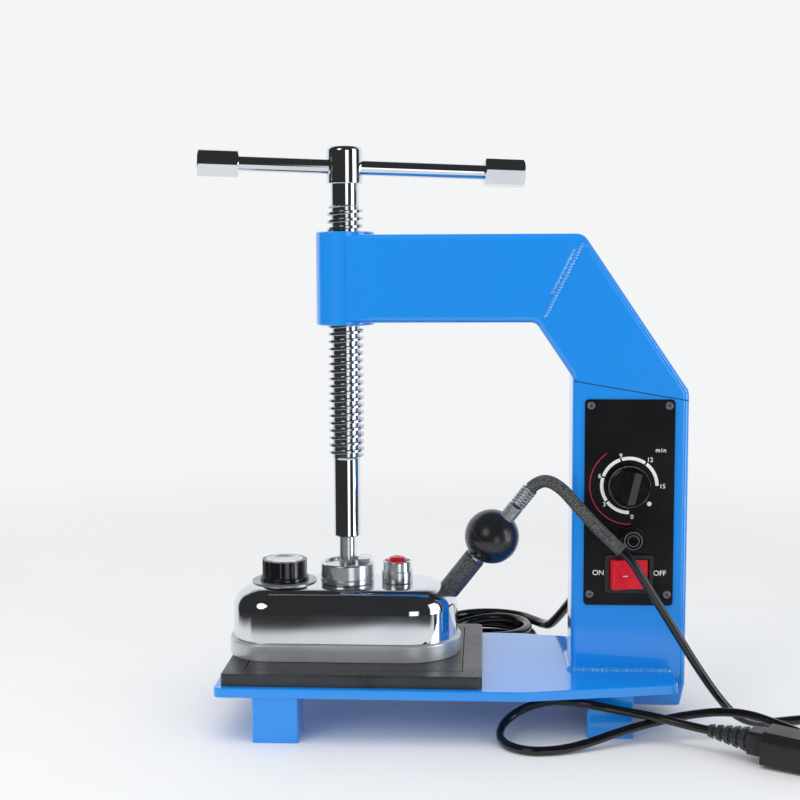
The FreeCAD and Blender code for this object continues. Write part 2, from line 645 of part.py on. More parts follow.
def make_head():
    """Sole, dome, post, element and the cup for the screw's tip."""
    sole = level_slab(head_outline(0), HEAD_BOTTOM, SOLE_TOP)
    rim = edges_where(sole, lambda p: abs(p.z - SOLE_TOP) < 1e-4)
    sole = sole.makeFillet(SOLE_EDGE, rim)
    channel_low = SOLE_TOP - ELEMENT_RADIUS
    element = element_tube(ELEMENT_RADIUS, channel_low)
    channel = element_tube(ELEMENT_RADIUS + SEAT, channel_low)
    sole = sole.cut(channel)
    dome = domed(DOME_INSET, SOLE_TOP, DOME_TOP, DOME_SHOULDER)
    hollow = domed(DOME_INSET + DOME_SHEET, SOLE_TOP - 1, DOME_TOP - DOME_SHEET, DOME_SHOULDER - DOME_SHEET)
    dome = dome.cut(hollow)
    post = turned([(0, SOLE_TOP, 0), (POST_RADIUS + 4, SOLE_TOP, 0), (POST_RADIUS + 4, SOLE_TOP + 4, 0),
                   (POST_RADIUS, SOLE_TOP + 8, 0), (POST_RADIUS, DOME_TOP, 0), (0, DOME_TOP, 0)])
    for x, radius in ((0, POST_RADIUS + SEAT), (THERMO_X, SHAFT_RADIUS + 1.5), (LAMP_X, LENS_RADIUS)):
        dome = dome.cut(rod(radius, SOLE_TOP, DOME_TOP + 1, x))
    foot_hole = Part.makeCylinder(FOOT_RADIUS + SEAT, 4 * FOOT_LENGTH,
                                  handle_point(-2 * FOOT_LENGTH), handle_direction())
    dome = dome.cut(foot_hole)
    groove = DOME_TOP + CUP_FOOT
    cup = turned([(0, DOME_TOP, 0), (BOSS_CUP_RADIUS, DOME_TOP, 0.8), (BOSS_CUP_RADIUS, groove, 0.4),
                  (BOSS_CUP_RADIUS - 0.5, groove + 0.4, 0), (BOSS_CUP_RADIUS, groove + 0.8, 0.4),
                  (BOSS_CUP_RADIUS, CUP_TOP, 1.2),
                  (BOSS_CUP_RADIUS - BOSS_CUP_LIP, CUP_TOP, 0.8),
                  (BOSS_CUP_RADIUS - BOSS_CUP_LIP, CUP_TOP - 1.6, 0),
                  (TIP_RADIUS + BODY_GAP, CUP_TOP - 1.6, 0), (TIP_RADIUS + BODY_GAP, CUP_TOP - 4.5, 0),
                  (TIP_RING_RADIUS + BODY_GAP, CUP_TOP - 4.5, 0),
                  (TIP_RING_RADIUS + BODY_GAP, DOME_TOP + 4 - BODY_GAP, 0), (0, DOME_TOP + 4 - BODY_GAP, 0)])
    clip = rod(BOSS_CUP_RADIUS - CUP_CLIP_INSET, CUP_TOP - 2, CUP_TOP + CUP_CLIP_RISE)
    clip = clip.cut(rod(TIP_RADIUS + 2, 0, far_above()))
    clip = clip.common(block(CUP_CLIP_FROM, BOSS_CUP_RADIUS, -CUP_CLIP_HALF, CUP_CLIP_HALF, 0, far_above()))
    cup = cup.fuse(clip)
    return {"heater_sole": one_solid(sole), "heating_element": one_solid(element),
            "head_dome": one_solid(dome), "head_post": post, "head_cup": one_solid(cup)}


def element_tube(radius, height):
    """U-shaped heating tube, half sunk in the sole."""
    left = -ELEMENT_LENGTH / 2
    right = ELEMENT_LENGTH / 2
    bend = ELEMENT_HALF - 0.5
    route = corner_edges([(right, -ELEMENT_HALF, 0), (left, -ELEMENT_HALF, bend), (left, ELEMENT_HALF, bend),
                          (right, ELEMENT_HALF, 0)], lambda x, y: Vector(x, y, height), closed=False)
    ring = Part.Wire(Part.Circle(Vector(right, -ELEMENT_HALF, height), Vector(1, 0, 0), radius).toShape())
    return Part.Wire(route).makePipeShell([ring], True, True)


def fluted(radius, low, high, count, groove):
    """Upright cylinder with a ring of round grooves along it."""
    body = rod(radius, low, high)
    cutters = []
    for k in range(count):
        angle = 2 * math.pi * k / count
        reach = radius + groove * 0.45
        cutters.append(rod(groove, low - 1, high + 1, reach * math.cos(angle), reach * math.sin(angle)))
    return body.cut(cutters)


def make_thermostat():
    """Dial disc, hidden thermostat, its shaft and the fluted knob with a bright cap."""
    plate_top = DOME_TOP + DIAL_THICK
    disc = rod(DIAL_RADIUS, DOME_TOP, plate_top).cut(rod(SHAFT_RADIUS + 1.0, 0, far_above()))
    body_top = DOME_TOP - DOME_SHEET
    body = rod(THERMO_BODY_RADIUS, body_top - THERMO_BODY_HEIGHT, body_top)
    body = body.cut(rod(SHAFT_RADIUS + RUN_FIT, body_top - 8, body_top + 1))
    knob_low = plate_top + BODY_GAP
    shaft_top = knob_low + KNOB_HEIGHT * 0.6
    shaft = rod(SHAFT_RADIUS, body_top - 7.7, shaft_top)
    skirt_top = knob_low + KNOB_SKIRT_HEIGHT
    skirt = turned([(0, knob_low, 0), (KNOB_SKIRT_RADIUS, knob_low, 0), (KNOB_SKIRT_RADIUS, skirt_top, 1.0),
                    (0, skirt_top, 0)])
    grip = fluted(KNOB_RADIUS, skirt_top - 0.5, knob_low + KNOB_HEIGHT, KNOB_FLUTES, KNOB_FLUTE_RADIUS)
    knob = skirt.fuse(grip)
    top = knob_low + KNOB_HEIGHT
    recess = turned([(0, top - 1.6, 0), (CAP_RADIUS - 3, top - 1.6, 0), (CAP_RADIUS + 0.1, top - CAP_THICK, 0),
                     (CAP_RADIUS + 0.1, top + 1, 0), (0, top + 1, 0)])
    knob = knob.cut(recess).cut(rod(SHAFT_RADIUS + 0.05, knob_low - 1, shaft_top + 0.05))
    cap = turned([(0, top - 1.5, 0), (CAP_RADIUS - 3.1, top - 1.5, 0), (CAP_RADIUS, top - CAP_THICK + 0.1, 0),
                  (CAP_RADIUS, top + 0.2, 0), (CAP_RADIUS - 1, top + 0.2, 0), (CAP_RADIUS - 3.6, top - 0.7, 0),
                  (0, top - 0.7, 0)])
    pieces = {"dial_disc": disc, "thermostat_body": body, "thermostat_shaft": shaft,
              "thermostat_knob": one_solid(knob), "knob_cap": cap}
    return {name: moved(shape, x=THERMO_X) for name, shape in pieces.items()}


def make_lamp():
    """Pilot lamp: chromed bezel, dark ring and domed lens."""
    low, high = DOME_TOP, DOME_TOP + LAMP_HEIGHT
    foot = low - LAMP_BODY_DEPTH
    inner = LAMP_RADIUS - LAMP_WALL
    skirt, skirt_top = LAMP_RADIUS + LAMP_SKIRT, low + LAMP_HEIGHT * 0.55
    bezel = turned([(LENS_RADIUS + 0.1, low, 0), (skirt, low, 0.8), (skirt, skirt_top, 0.5),
                    (LAMP_RADIUS, skirt_top, 0), (LAMP_RADIUS, high, 1.0), (inner, high, 0.3),
                    (inner, high - 3, 0), (LENS_RADIUS + 0.1, high - 3, 0)])
    ring = turned([(LENS_RADIUS + 0.1, high - 3, 0), (inner - 0.05, high - 3, 0), (inner - 0.05, high - 0.8, 0),
                   (LENS_RADIUS + 0.1, high - 0.4, 0)])
    body = turned([(0, foot, 0), (LAMP_BODY_RADIUS, foot, 0), (LAMP_BODY_RADIUS, low - 4, 0),
                   (LENS_RADIUS - 0.2, low - 2, 0), (LENS_RADIUS - 0.2, high - 3, 0), (0, high - 3, 0)])
    lens = turned([(0, high - 3, 0), (LENS_RADIUS, high - 3, 0), (LENS_RADIUS, high, 0.5),
                   (LENS_RADIUS - 2.4, high + LENS_DOME * 0.7, 1.5), (0, high + LENS_DOME, 0)])
    pieces = {"lamp_bezel": bezel, "lamp_ring": ring, "lamp_body": body, "lamp_lens": lens}
    return {name: moved(shape, x=LAMP_X) for name, shape in pieces.items()}


def handle_direction():
    """Unit vector up the handle: right, a little forward and up."""
    rise, turn = math.radians(HANDLE_RISE), math.radians(HANDLE_TURN)
    return Vector(math.cos(rise) * math.cos(turn), -math.cos(rise) * math.sin(turn), math.sin(rise))


def handle_point(distance):
    """Point on the handle's axis at a distance from its foot."""
    return Vector(HANDLE_X, 0, HANDLE_Z) + handle_direction() * distance


def make_handle():
    """Foot, textured grip, collar, ball, ferrule and relief spring along one leaning axis."""
    way = handle_direction()
    bore = LEAD_RADIUS + 0.4
    foot = turned([(bore, -FOOT_LENGTH, 0), (FOOT_RADIUS, -FOOT_LENGTH, 0), (FOOT_RADIUS, FOOT_PROUD, 1.0),
                   (bore, FOOT_PROUD, 0)])
    grip_low = FOOT_PROUD
    grip_high = grip_low + GRIP_LENGTH
    grip = turned([(bore, grip_low, 0), (GRIP_RADIUS, grip_low, 0.8), (GRIP_RADIUS, grip_high, 0.8),
                   (bore, grip_high, 0)])
    ball_low = BALL_CENTRE - math.sqrt(BALL_RADIUS ** 2 - COLLAR_RADIUS ** 2)
    collar = turned([(bore, grip_high, 0), (COLLAR_RADIUS, grip_high, 0), (COLLAR_RADIUS, ball_low + 1.0, 0),
                     (bore, ball_low + 1.0, 0)])
    ball = Part.makeSphere(BALL_RADIUS, Vector(0, 0, BALL_CENTRE))
    ball = ball.cut(rod(bore, 0, far_above())).cut(rod(COLLAR_RADIUS + 0.05, 0, ball_low + 1.0))
    ball_top = BALL_CENTRE + math.sqrt(BALL_RADIUS ** 2 - FERRULE_RADIUS ** 2)
    ferrule_low = ball_top - 1.5
    ferrule_high = ferrule_low + FERRULE_LENGTH
    ball = ball.cut(rod(FERRULE_RADIUS + 0.05, ferrule_low, far_above()))
    ferrule = turned([(bore, ferrule_low, 0), (FERRULE_RADIUS, ferrule_low, 0),
                      (FERRULE_RADIUS, ferrule_high, 0.6), (bore, ferrule_high, 0)])
    spring_low = ferrule_high + SPRING_WIRE + 0.1
    spring = moved(coil_spring(), z=spring_low)
    nodes = {}
    pieces = {"handle_foot": foot, "handle_grip": grip, "handle_collar": collar, "handle_ball": ball,
              "handle_ferrule": ferrule, "relief_spring": spring}
    for name, shape in pieces.items():
        nodes[name] = one_solid(aimed(shape, handle_point(0), way))
    cover = domed(DOME_INSET, SOLE_TOP, DOME_TOP, DOME_SHOULDER)
    nodes["handle_grip"] = one_solid(nodes["handle_grip"].cut(cover))
    return nodes


def coil_spring():
    """Open coil spring standing on Z, wound from half turns."""
    rise = math.atan2(SPRING_PITCH, 2 * math.pi * SPRING_RADIUS)
    edges = []
    for k in range(2 * SPRING_TURNS):
        side = 1 - 2 * (k % 2)
        begin = Vector(side * SPRING_RADIUS, 0, k * SPRING_PITCH / 2)
        finish = Vector(-side * SPRING_RADIUS, 0, (k + 1) * SPRING_PITCH / 2)
        climb = math.sin(rise)
        out, back = Vector(0, side * math.cos(rise), climb), Vector(0, -side * math.cos(rise), climb)
        edges += biarc(begin, out, finish, back)
    return tube(Part.Wire(edges), SPRING_WIRE, "relief_spring")


# Control panel
def panel_screw_places():
    """Places of the panel's four screws, as X and Z."""
    left, right = PANEL_LEFT + SCREW_INSET, PANEL_LEFT + PANEL_WIDTH - SCREW_INSET
    low, high = PANEL_BOTTOM + SCREW_LOW_INSET, PANEL_BOTTOM + PANEL_HEIGHT - SCREW_TOP_INSET
    return [(left, low), (right, low), (left, high), (right, high)]


def make_panel():
    """Panel plate with its openings, and the four screws."""
    right, top = PANEL_LEFT + PANEL_WIDTH, PANEL_BOTTOM + PANEL_HEIGHT
    plate = upright_slab([(PANEL_LEFT, PANEL_BOTTOM, PANEL_CORNER), (right, PANEL_BOTTOM, PANEL_CORNER),
                          (right, top, PANEL_CORNER), (PANEL_LEFT, top, PANEL_CORNER)],
                         PANEL_FACE, -FRAME_HALF)
    before, behind = PANEL_FACE - 1, -FRAME_HALF + 1
    plate = plate.cut(bolt_in(TIMER_BUSH_RADIUS + SEAT, TIMER_X, TIMER_Z, before, behind))
    plate = plate.cut(bolt_in(FUSE_TUBE_RADIUS + SEAT, FUSE_X, FUSE_Z, before, behind))
    half_x = BEZEL_WIDTH / 2 - BEZEL_RIM + 1.0 + SEAT
    half_z = BEZEL_HEIGHT / 2 - SWITCH_SIDE_RIM + 1.0 + SEAT
    plate = plate.cut(block(SWITCH_X - half_x, SWITCH_X + half_x, before, behind,
                            SWITCH_Z - half_z, SWITCH_Z + half_z))
    screws = []
    head = turned([(0, 0, 0), (SCREW_HEAD_RADIUS, 0, 0), (SCREW_HEAD_RADIUS, SCREW_HEAD_HEIGHT, 0.7),
                   (0, SCREW_HEAD_HEIGHT, 0)]).fuse(rod(SCREW_SHANK_RADIUS, -SCREW_SHANK, 0))
    for x, z in panel_screw_places():
        plate = plate.cut(bolt_in(SCREW_SHANK_RADIUS + SEAT, x, z, before, behind))
        screws.append(one_solid(aimed(head, Vector(x, PANEL_FACE, z), FRONT)))
    return {"panel_plate": one_solid(plate), "panel_screws": Part.makeCompound(screws)}


def make_timer():
    """Timer behind the panel, its shaft and the pointer knob."""
    back = -FRAME_HALF + TIMER_DEPTH
    body = block(TIMER_X - TIMER_WIDTH / 2, TIMER_X + TIMER_WIDTH / 2, -FRAME_HALF, back,
                 TIMER_Z - TIMER_HEIGHT / 2, TIMER_Z + TIMER_HEIGHT / 2)
    bush_face = PANEL_FACE - TIMER_BUSH
    body = body.fuse(bolt_in(TIMER_BUSH_RADIUS, TIMER_X, TIMER_Z, bush_face, -FRAME_HALF))
    body = body.cut(bolt_in(SHAFT_RADIUS + RUN_FIT, TIMER_X, TIMER_Z, bush_face - 1, -FRAME_HALF + 10))
    knob_back = bush_face - BODY_GAP
    shaft_front = knob_back - TIMER_KNOB_HEIGHT * 0.75
    shaft = bolt_in(SHAFT_RADIUS, TIMER_X, TIMER_Z, shaft_front, -FRAME_HALF + 9.7)
    disc = turned([(0, 0, 0), (TIMER_KNOB_RADIUS, 0, 0), (TIMER_KNOB_RADIUS - 0.6, TIMER_KNOB_HEIGHT, 1.2),
                   (0, TIMER_KNOB_HEIGHT, 0)])
    half = POINTER_WIDTH / 2
    reach = TIMER_KNOB_RADIUS - 1.4
    pointer = block(-half, half, -reach, reach, TIMER_KNOB_HEIGHT - 0.5, TIMER_KNOB_HEIGHT + POINTER_HEIGHT)
    upper = edges_where(pointer, lambda p: p.z > TIMER_KNOB_HEIGHT + POINTER_HEIGHT - 0.01)
    pointer = pointer.makeFillet(0.8, upper)
    knob = disc.fuse(pointer).cut(rod(SHAFT_RADIUS + 0.05, -1, TIMER_KNOB_HEIGHT * 0.75 + 0.05))
    knob = aimed(one_solid(knob), Vector(TIMER_X, knob_back, TIMER_Z), FRONT)
    return {"timer_body": one_solid(body), "timer_shaft": shaft, "timer_knob": knob}


def make_switch():
    """Rocker switch: housing with bezel, rocker tipped to OFF, and rear terminals."""
    face = PANEL_FACE - BEZEL_PROUD
    half_x, half_z = BEZEL_WIDTH / 2, BEZEL_HEIGHT / 2
    bezel = upright_slab([(-half_x, -half_z, 1.5), (half_x, -half_z, 1.5), (half_x, half_z, 1.5),
                          (-half_x, half_z, 1.5)], face, PANEL_FACE)
    open_x, open_z = half_x - BEZEL_RIM, half_z - SWITCH_SIDE_RIM
    housing = bezel.fuse(block(-open_x - 1, open_x + 1, PANEL_FACE, PANEL_FACE + SWITCH_DEPTH,
                               -open_z - 1, open_z + 1))
    floor = face + ROCKER_PIVOT_DEPTH + 8
    housing = housing.cut(block(-open_x, open_x, face - 1, floor, -open_z, open_z))
    pivot_y = face + ROCKER_PIVOT_DEPTH
    pins = rod(ROCKER_PIN_RADIUS, -open_z - 0.7, open_z + 0.7)
    housing = housing.cut(moved(rod(ROCKER_PIN_RADIUS + RUN_FIT, -open_z - 0.8, open_z + 0.8), y=pivot_y))
    rocker = rocker_solid(open_z - ROCKER_SIDE_GAP).fuse(pins)
    rocker = one_solid(rocker)
    rocker.rotate(Vector(0, 0, 0), UP, ROCKER_TILT)
    rocker = moved(rocker, y=pivot_y)
    blades = []
    rear = PANEL_FACE + SWITCH_DEPTH
    for x in (-7.0, 7.0):
        for z in (-5.0, 5.0):
            blades.append(block(x - 0.4, x + 0.4, rear, rear + 9, z - 2.4, z + 2.4))
    pieces = {"switch_housing": one_solid(housing), "switch_rocker": rocker,
              "switch_terminals": Part.makeCompound(blades)}
    return {name: moved(shape, x=SWITCH_X, z=SWITCH_Z) for name, shape in pieces.items()}


def rocker_solid(half_height):
    """Rocker about the origin: round ends about the pivot and a shallow V in front."""
    ends = ROCKER_PIVOT_DEPTH + ROCKER_END_RISE
    top_x = math.sqrt(ROCKER_RADIUS ** 2 - ends ** 2)
    low = 3.0
    low_x = math.sqrt(ROCKER_RADIUS ** 2 - low ** 2)

    def at(x, rise):
        return Vector(x, -rise, -half_height)

    middle = at(0, ROCKER_PIVOT_DEPTH + ROCKER_MID_RISE)
    edges = [
        Part.Arc(at(low_x, -low), at(ROCKER_RADIUS, 0), at(top_x, ends)).toShape(),
        Part.LineSegment(at(top_x, ends), middle).toShape(),
        Part.LineSegment(middle, at(-top_x, ends)).toShape(),
        Part.Arc(at(-top_x, ends), at(-ROCKER_RADIUS, 0), at(-low_x, -low)).toShape(),
        Part.LineSegment(at(-low_x, -low), at(low_x, -low)).toShape(),
    ]
    return Part.Face(Part.Wire(edges)).extrude(Vector(0, 0, 2 * half_height))


def make_fuse():
    """Fuse holder through the panel, its link and the ribbed cap."""
    flange_face = PANEL_FACE - 1.5
    holder = bolt_in(FUSE_FLANGE_RADIUS, FUSE_X, FUSE_Z, flange_face, PANEL_FACE)
    holder = holder.fuse(bolt_in(FUSE_TUBE_RADIUS, FUSE_X, FUSE_Z, PANEL_FACE, PANEL_FACE + FUSE_LENGTH))
    holder = holder.cut(bolt_in(FUSE_BORE_RADIUS, FUSE_X, FUSE_Z, flange_face - 1, PANEL_FACE + FUSE_LENGTH - 2))
    link_back = PANEL_FACE + FUSE_LENGTH - 2
    link = bolt_in(FUSE_RADIUS, FUSE_X, FUSE_Z, link_back - FUSE_LINK, link_back)
    grip = fluted(FUSE_CAP_RADIUS, 0, FUSE_CAP_HEIGHT, 16, 0.9)
    stem = rod(FUSE_BORE_RADIUS - RUN_FIT, -8, 0)
    slot = block(-FUSE_CAP_RADIUS, FUSE_CAP_RADIUS, -0.7, 0.7, FUSE_CAP_HEIGHT - 1.2, FUSE_CAP_HEIGHT + 1)
    cap = one_solid(grip.fuse(stem).cut(slot))
    cap = aimed(cap, Vector(FUSE_X, flange_face - BODY_GAP, FUSE_Z), FRONT)
    return {"fuse_holder": one_solid(holder), "fuse_link": link, "fuse_cap": cap}


# Mains side and cords
def make_gland():
    """Strain relief in the column's back and the terminal block inside."""
    tail = FRAME_HALF + GLAND_HEAD + GLAND_TAIL
    gland = turned([(0, -SHEET - 2, 0), (GLAND_NECK_RADIUS, -SHEET - 2, 0), (GLAND_NECK_RADIUS, 0, 0),
                    (GLAND_HEAD_RADIUS, 0, 0), (GLAND_HEAD_RADIUS, GLAND_HEAD, 1.0), (6.4, GLAND_HEAD, 0),
                    (MAINS_RADIUS + 1.1, GLAND_HEAD + GLAND_TAIL, 0), (0, GLAND_HEAD + GLAND_TAIL, 0)])
    gland = aimed(gland, Vector(GLAND_X, FRAME_HALF, GLAND_Z), Vector(0, 1, 0))
    length, depth, height = BLOCK_SIZE
    terminals = block(BLOCK_X - length / 2, BLOCK_X + length / 2, FRAME_HALF - SHEET - depth, FRAME_HALF - SHEET,
                      BLOCK_Z - height / 2, BLOCK_Z + height / 2)
    for k in (-1, 0, 1):
        place = BLOCK_X + 8 * k
        terminals = terminals.cut(rod(1.8, BLOCK_Z, BLOCK_Z + height, place, FRAME_HALF - SHEET - depth / 2))
    return {"mains_gland": one_solid(gland), "terminal_block": one_solid(terminals)}, tail


def route_wire(points, name):
    """Straight runs joined by tangent arcs as large as the runs allow."""
    corners = [Vector(*p) for p in points]
    edges = []
    radii = []
    start = corners[0]
    for before, corner, after in zip(corners, corners[1:], corners[2:]):
        back, ahead = before - corner, after - corner
        shorter = min(back.Length, ahead.Length)
        half_turn = (math.pi - back.getAngle(ahead)) / 2
        reach = 0.45 * shorter
        radius = reach / math.tan(half_turn)
        radii.append(radius)
        back, ahead = unit(back), unit(ahead)
        first, last = corner + back * reach, corner + ahead * reach
        inward = unit(back + ahead)
        middle = corner + inward * (radius / math.cos(half_turn) - radius)
        edges.append(Part.LineSegment(start, first).toShape())
        edges.append(Part.Arc(first, middle, last).toShape())
        start = last
    edges.append(Part.LineSegment(start, corners[-1]).toShape())
    print("%s: least radius %.1f, radii %s" % (name, min(radii), " ".join("%.0f" % r for r in radii)))
    return Part.Wire(edges)


def tube(wire, radius, name):
    """Round tube along a wire, with its volume set against section times length."""
    start = wire.Edges[0].valueAt(wire.Edges[0].FirstParameter)
    way = wire.Edges[0].tangentAt(wire.Edges[0].FirstParameter)
    ring = Part.Wire(Part.Circle(start, way, radius).toShape())
    solid = one_solid(wire.makePipeShell([ring], True, False))
    expected = math.pi * radius ** 2 * wire.Length
    print("%s: length %.1f, volume %.1f of %.1f" % (name, wire.Length, solid.Volume, expected))
    return solid


def arc_between(start, start_way, finish):
    """Arc that leaves a point along a direction and ends at another point."""
    chord = finish - start
    along = unit(chord)
    side = start_way - along * start_way.dot(along)
    if side.Length < 1e-9:
        return Part.LineSegment(start, finish).toShape()
    angle = math.atan2(side.Length, start_way.dot(along))
    middle = start + chord * 0.5 + unit(side) * (chord.Length / 2 * math.tan(angle / 2))
    return Part.Arc(start, middle, finish).toShape()


def biarc(start, start_way, finish, finish_way):
    """Two arcs that join two points along their own directions."""
    span = finish - start
    ways = start_way + finish_way
    spread = 2 * (1 - start_way.dot(finish_way))
    lead = (-span.dot(ways) + math.sqrt(span.dot(ways) ** 2 + spread * span.dot(span))) / spread
    join = (start + start_way * lead + finish - finish_way * lead) * 0.5
    join_way = unit((finish - finish_way * lead) - (start + start_way * lead))
    return [arc_between(start, start_way, join), arc_between(join, join_way, finish)]


def coil_stations():
    """Ends of the coil's half turns: reach from the centre and height, bottom layer first."""
    inner, outer = COIL_INNER, COIL_INNER + COIL_STEP
    low = FLOOR_GAP + MAINS_RADIUS
    stations = []
    for layer in range(COIL_LAYERS):
        reaches = [outer, (outer + inner) / 2, inner]
        if layer % 2:
            reaches.reverse()
        stations += [(reach, low + layer * COIL_LAYER) for reach in reaches]
    return stations


def coil_wire():
    """Piled coil: half turns that spiral in and out and climb a layer where the spiral reverses."""
    turn = math.radians(COIL_TURN)
    across = Vector(math.cos(turn), math.sin(turn), 0)
    ahead = Vector(-math.sin(turn), math.cos(turn), 0)
    centre = Vector(COIL_X, COIL_Y, 0)
    points, ways = [], []
    side = -1
    for reach, height in coil_stations():
        points.append(centre + across * (side * reach) + UP * height)
        ways.append(ahead * -side)
        side = -side
    arcs = []
    for i in range(len(points) - 1):
        arcs += biarc(points[i], ways[i], points[i + 1], ways[i + 1])
    arcs = arcs[1:]
    entry = MAINS_RADIUS * 2
    start = arcs[0].valueAt(arcs[0].FirstParameter)
    start_way = arcs[0].tangentAt(arcs[0].FirstParameter)
    foot = start - start_way * entry
    finish = points[-1] + ways[-1] * entry
    edges = [Part.LineSegment(foot, start).toShape()] + arcs + [Part.LineSegment(points[-1], finish).toShape()]
    return Part.Wire(edges), (foot, start_way, finish, ways[-1])


def least_self_gap(wire, radius):
    """Least distance between parts of a tube that lie over one quarter turn apart along it."""
    step = 2.0
    points = wire.discretize(Distance=step)
    apart = int(math.pi * COIL_INNER / 2 / step)
    least = 1e9
    for i in range(0, len(points)):
        for j in range(i + apart, len(points)):
            least = min(least, (points[i] - points[j]).Length)
    return least - 2 * radius


def make_mains(gland_tail):
    """Mains lead from the gland to the coil, the coil behind the base, and its plug."""
    wire, ends = coil_wire()
    coil = tube(wire, MAINS_RADIUS, "mains_coil")
    print("mains_coil: least gap to itself %.2f" % least_self_gap(wire, MAINS_RADIUS))
    tail_start, tail_way, head_end, head_way = ends
    lead_route = [(GLAND_X, gland_tail, GLAND_Z), (GLAND_X, gland_tail + 9, GLAND_Z)] + MAINS_ROUTE
    final = [head_end + head_way * 12, head_end]
    lead_route += [(p.x, p.y, p.z) for p in final]
    lead = tube(route_wire(lead_route, "mains_lead"), MAINS_RADIUS, "mains_lead")
    before = tail_start - tail_way * 16
    tail_route = PLUG_TAIL_ROUTE + [(before.x, before.y, before.z), (tail_start.x, tail_start.y, tail_start.z)]
    tail = tube(route_wire(tail_route, "plug_tail"), MAINS_RADIUS, "plug_tail")
    total = lead.Volume + tail.Volume + coil.Volume
    print("mains lead in all %.0f mm" % (total / (math.pi * MAINS_RADIUS ** 2)))
    nodes = {"mains_coil": coil, "mains_lead": Part.makeCompound([lead, tail])}
    nodes.update(make_mains_plug(Vector(*PLUG_TAIL_ROUTE[0])))
    return nodes


def make_mains_plug(lead_end):
    """Round moulded plug with two pins, lying behind the base."""
    length = PLUG_BODY_LENGTH
    body = turned([(0, 0, 0), (MAINS_RADIUS + 1.2, 0, 0), (MAINS_RADIUS + 3.0, length * 0.4, 0),
                   (PLUG_BODY_RADIUS - 0.2, length * 0.6, 3.0), (PLUG_BODY_RADIUS - 0.2, length, 1.5),
                   (0, length, 0)])
    way = Vector(-1, 0, 0)
    body = aimed(body, lead_end, way)
    pins = []
    face = lead_end + way * length
    for side in (-1, 1):
        pin = turned([(0, 0, 0), (PLUG_PIN_RADIUS, 0, 0), (PLUG_PIN_RADIUS, PLUG_PIN_LENGTH, 1.2),
                      (0, PLUG_PIN_LENGTH, 0)])
        pins.append(one_solid(aimed(pin, face + Vector(0, side * PLUG_PIN_APART / 2, 0), way)))
    return {"mains_plug": one_solid(body), "plug_pins": Part.makeCompound(pins)}


def make_lead():
    """Sleeve from the handle, the head lead across the bench, and its connector plug."""
    spring_top = spring_end()
    sleeve_points = [(spring_top.x, spring_top.y, spring_top.z)] + SLEEVE_ROUTE
    sleeve = tube(route_wire(sleeve_points, "lead_sleeve"), SLEEVE_RADIUS, "lead_sleeve")
    lead = tube(route_wire(LEAD_ROUTE, "head_lead"), LEAD_RADIUS, "head_lead")
    nodes = {"lead_sleeve": sleeve, "head_lead": lead}
    nodes.update(make_connector())
    return nodes


def spring_end():
    """Point on the handle's axis just past the relief spring."""
    ball_top = BALL_CENTRE + math.sqrt(BALL_RADIUS ** 2 - FERRULE_RADIUS ** 2)
    spring_low = ball_top - 1.5 + FERRULE_LENGTH + SPRING_WIRE + 0.1
    return handle_point(spring_low + SPRING_PITCH * SPRING_TURNS + SPRING_WIRE + 0.3)


def make_connector():
    """Ribbed relief and square-shouldered connector on the head lead."""
    exit_point = Vector(*LEAD_ROUTE[-1])
    way = unit(exit_point - Vector(*LEAD_ROUTE[-2]))
    small, large = LEAD_RADIUS + 1.0, 7.0
    pitch = PLUG_RELIEF / PLUG_RIBS
    outline = [(0, 0, 0)]
    for k in range(PLUG_RIBS):
        reach = small + (large - small) * k / (PLUG_RIBS - 1)
        rib = (k + 0.55) * pitch
        outline += [(reach, k * pitch, 0), (reach + 0.8, rib, 0), (reach - 1.0, rib, 0),
                    (reach - 1.0, (k + 1) * pitch, 0)]
    outline += [(0, PLUG_RELIEF, 0)]
    relief = turned(outline)
    half_w, half_h = PLUG_WIDTH / 2, PLUG_HEIGHT / 2
    neck = level_slab([(-8.5, -7.5, 3), (8.5, -7.5, 3), (8.5, 7.5, 3), (-8.5, 7.5, 3)],
                      PLUG_RELIEF, PLUG_RELIEF + 14)
    body = level_slab([(-half_w + 4, -half_h, 1.5), (half_w - 4, -half_h, 1.5), (half_w, -half_h + 5, 1.5),
                       (half_w, half_h, 1.5), (-half_w, half_h, 1.5), (-half_w, -half_h + 5, 1.5)],
                      PLUG_RELIEF + 10, PLUG_RELIEF + PLUG_LENGTH)
    plug = one_solid(neck.fuse(body))
    face = PLUG_RELIEF + PLUG_LENGTH
    slots = [block(x - 1.1, x + 1.1, -2.2, 2.2, face - PLUG_SLOT_DEPTH, face + 1) for x in (-7, 0, 7)]
    plug = one_solid(plug.cut(slots))
    return {"connector_relief": one_solid(laid(relief, exit_point, way)),
            "connector_body": one_solid(laid(plug, exit_point, way))}


def build():
    """All pieces by name, about the screw's axis."""
    nodes = {}
    nodes.update(make_base())
    nodes.update(make_frame())
    nodes.update(make_boss())
    nodes.update(make_pad())
    nodes.update(make_screw())
    nodes.update(make_bar())
    nodes.update(make_head())
    nodes.update(make_thermostat())
    nodes.update(make_lamp())
    nodes.update(make_handle())
    nodes.update(make_panel())
    nodes.update(make_timer())
    nodes.update(make_switch())
    nodes.update(make_fuse())
    gland_nodes, gland_tail = make_gland()
    nodes.update(gland_nodes)
    nodes.update(make_mains(gland_tail))
    nodes.update(make_lead())
    return nodes


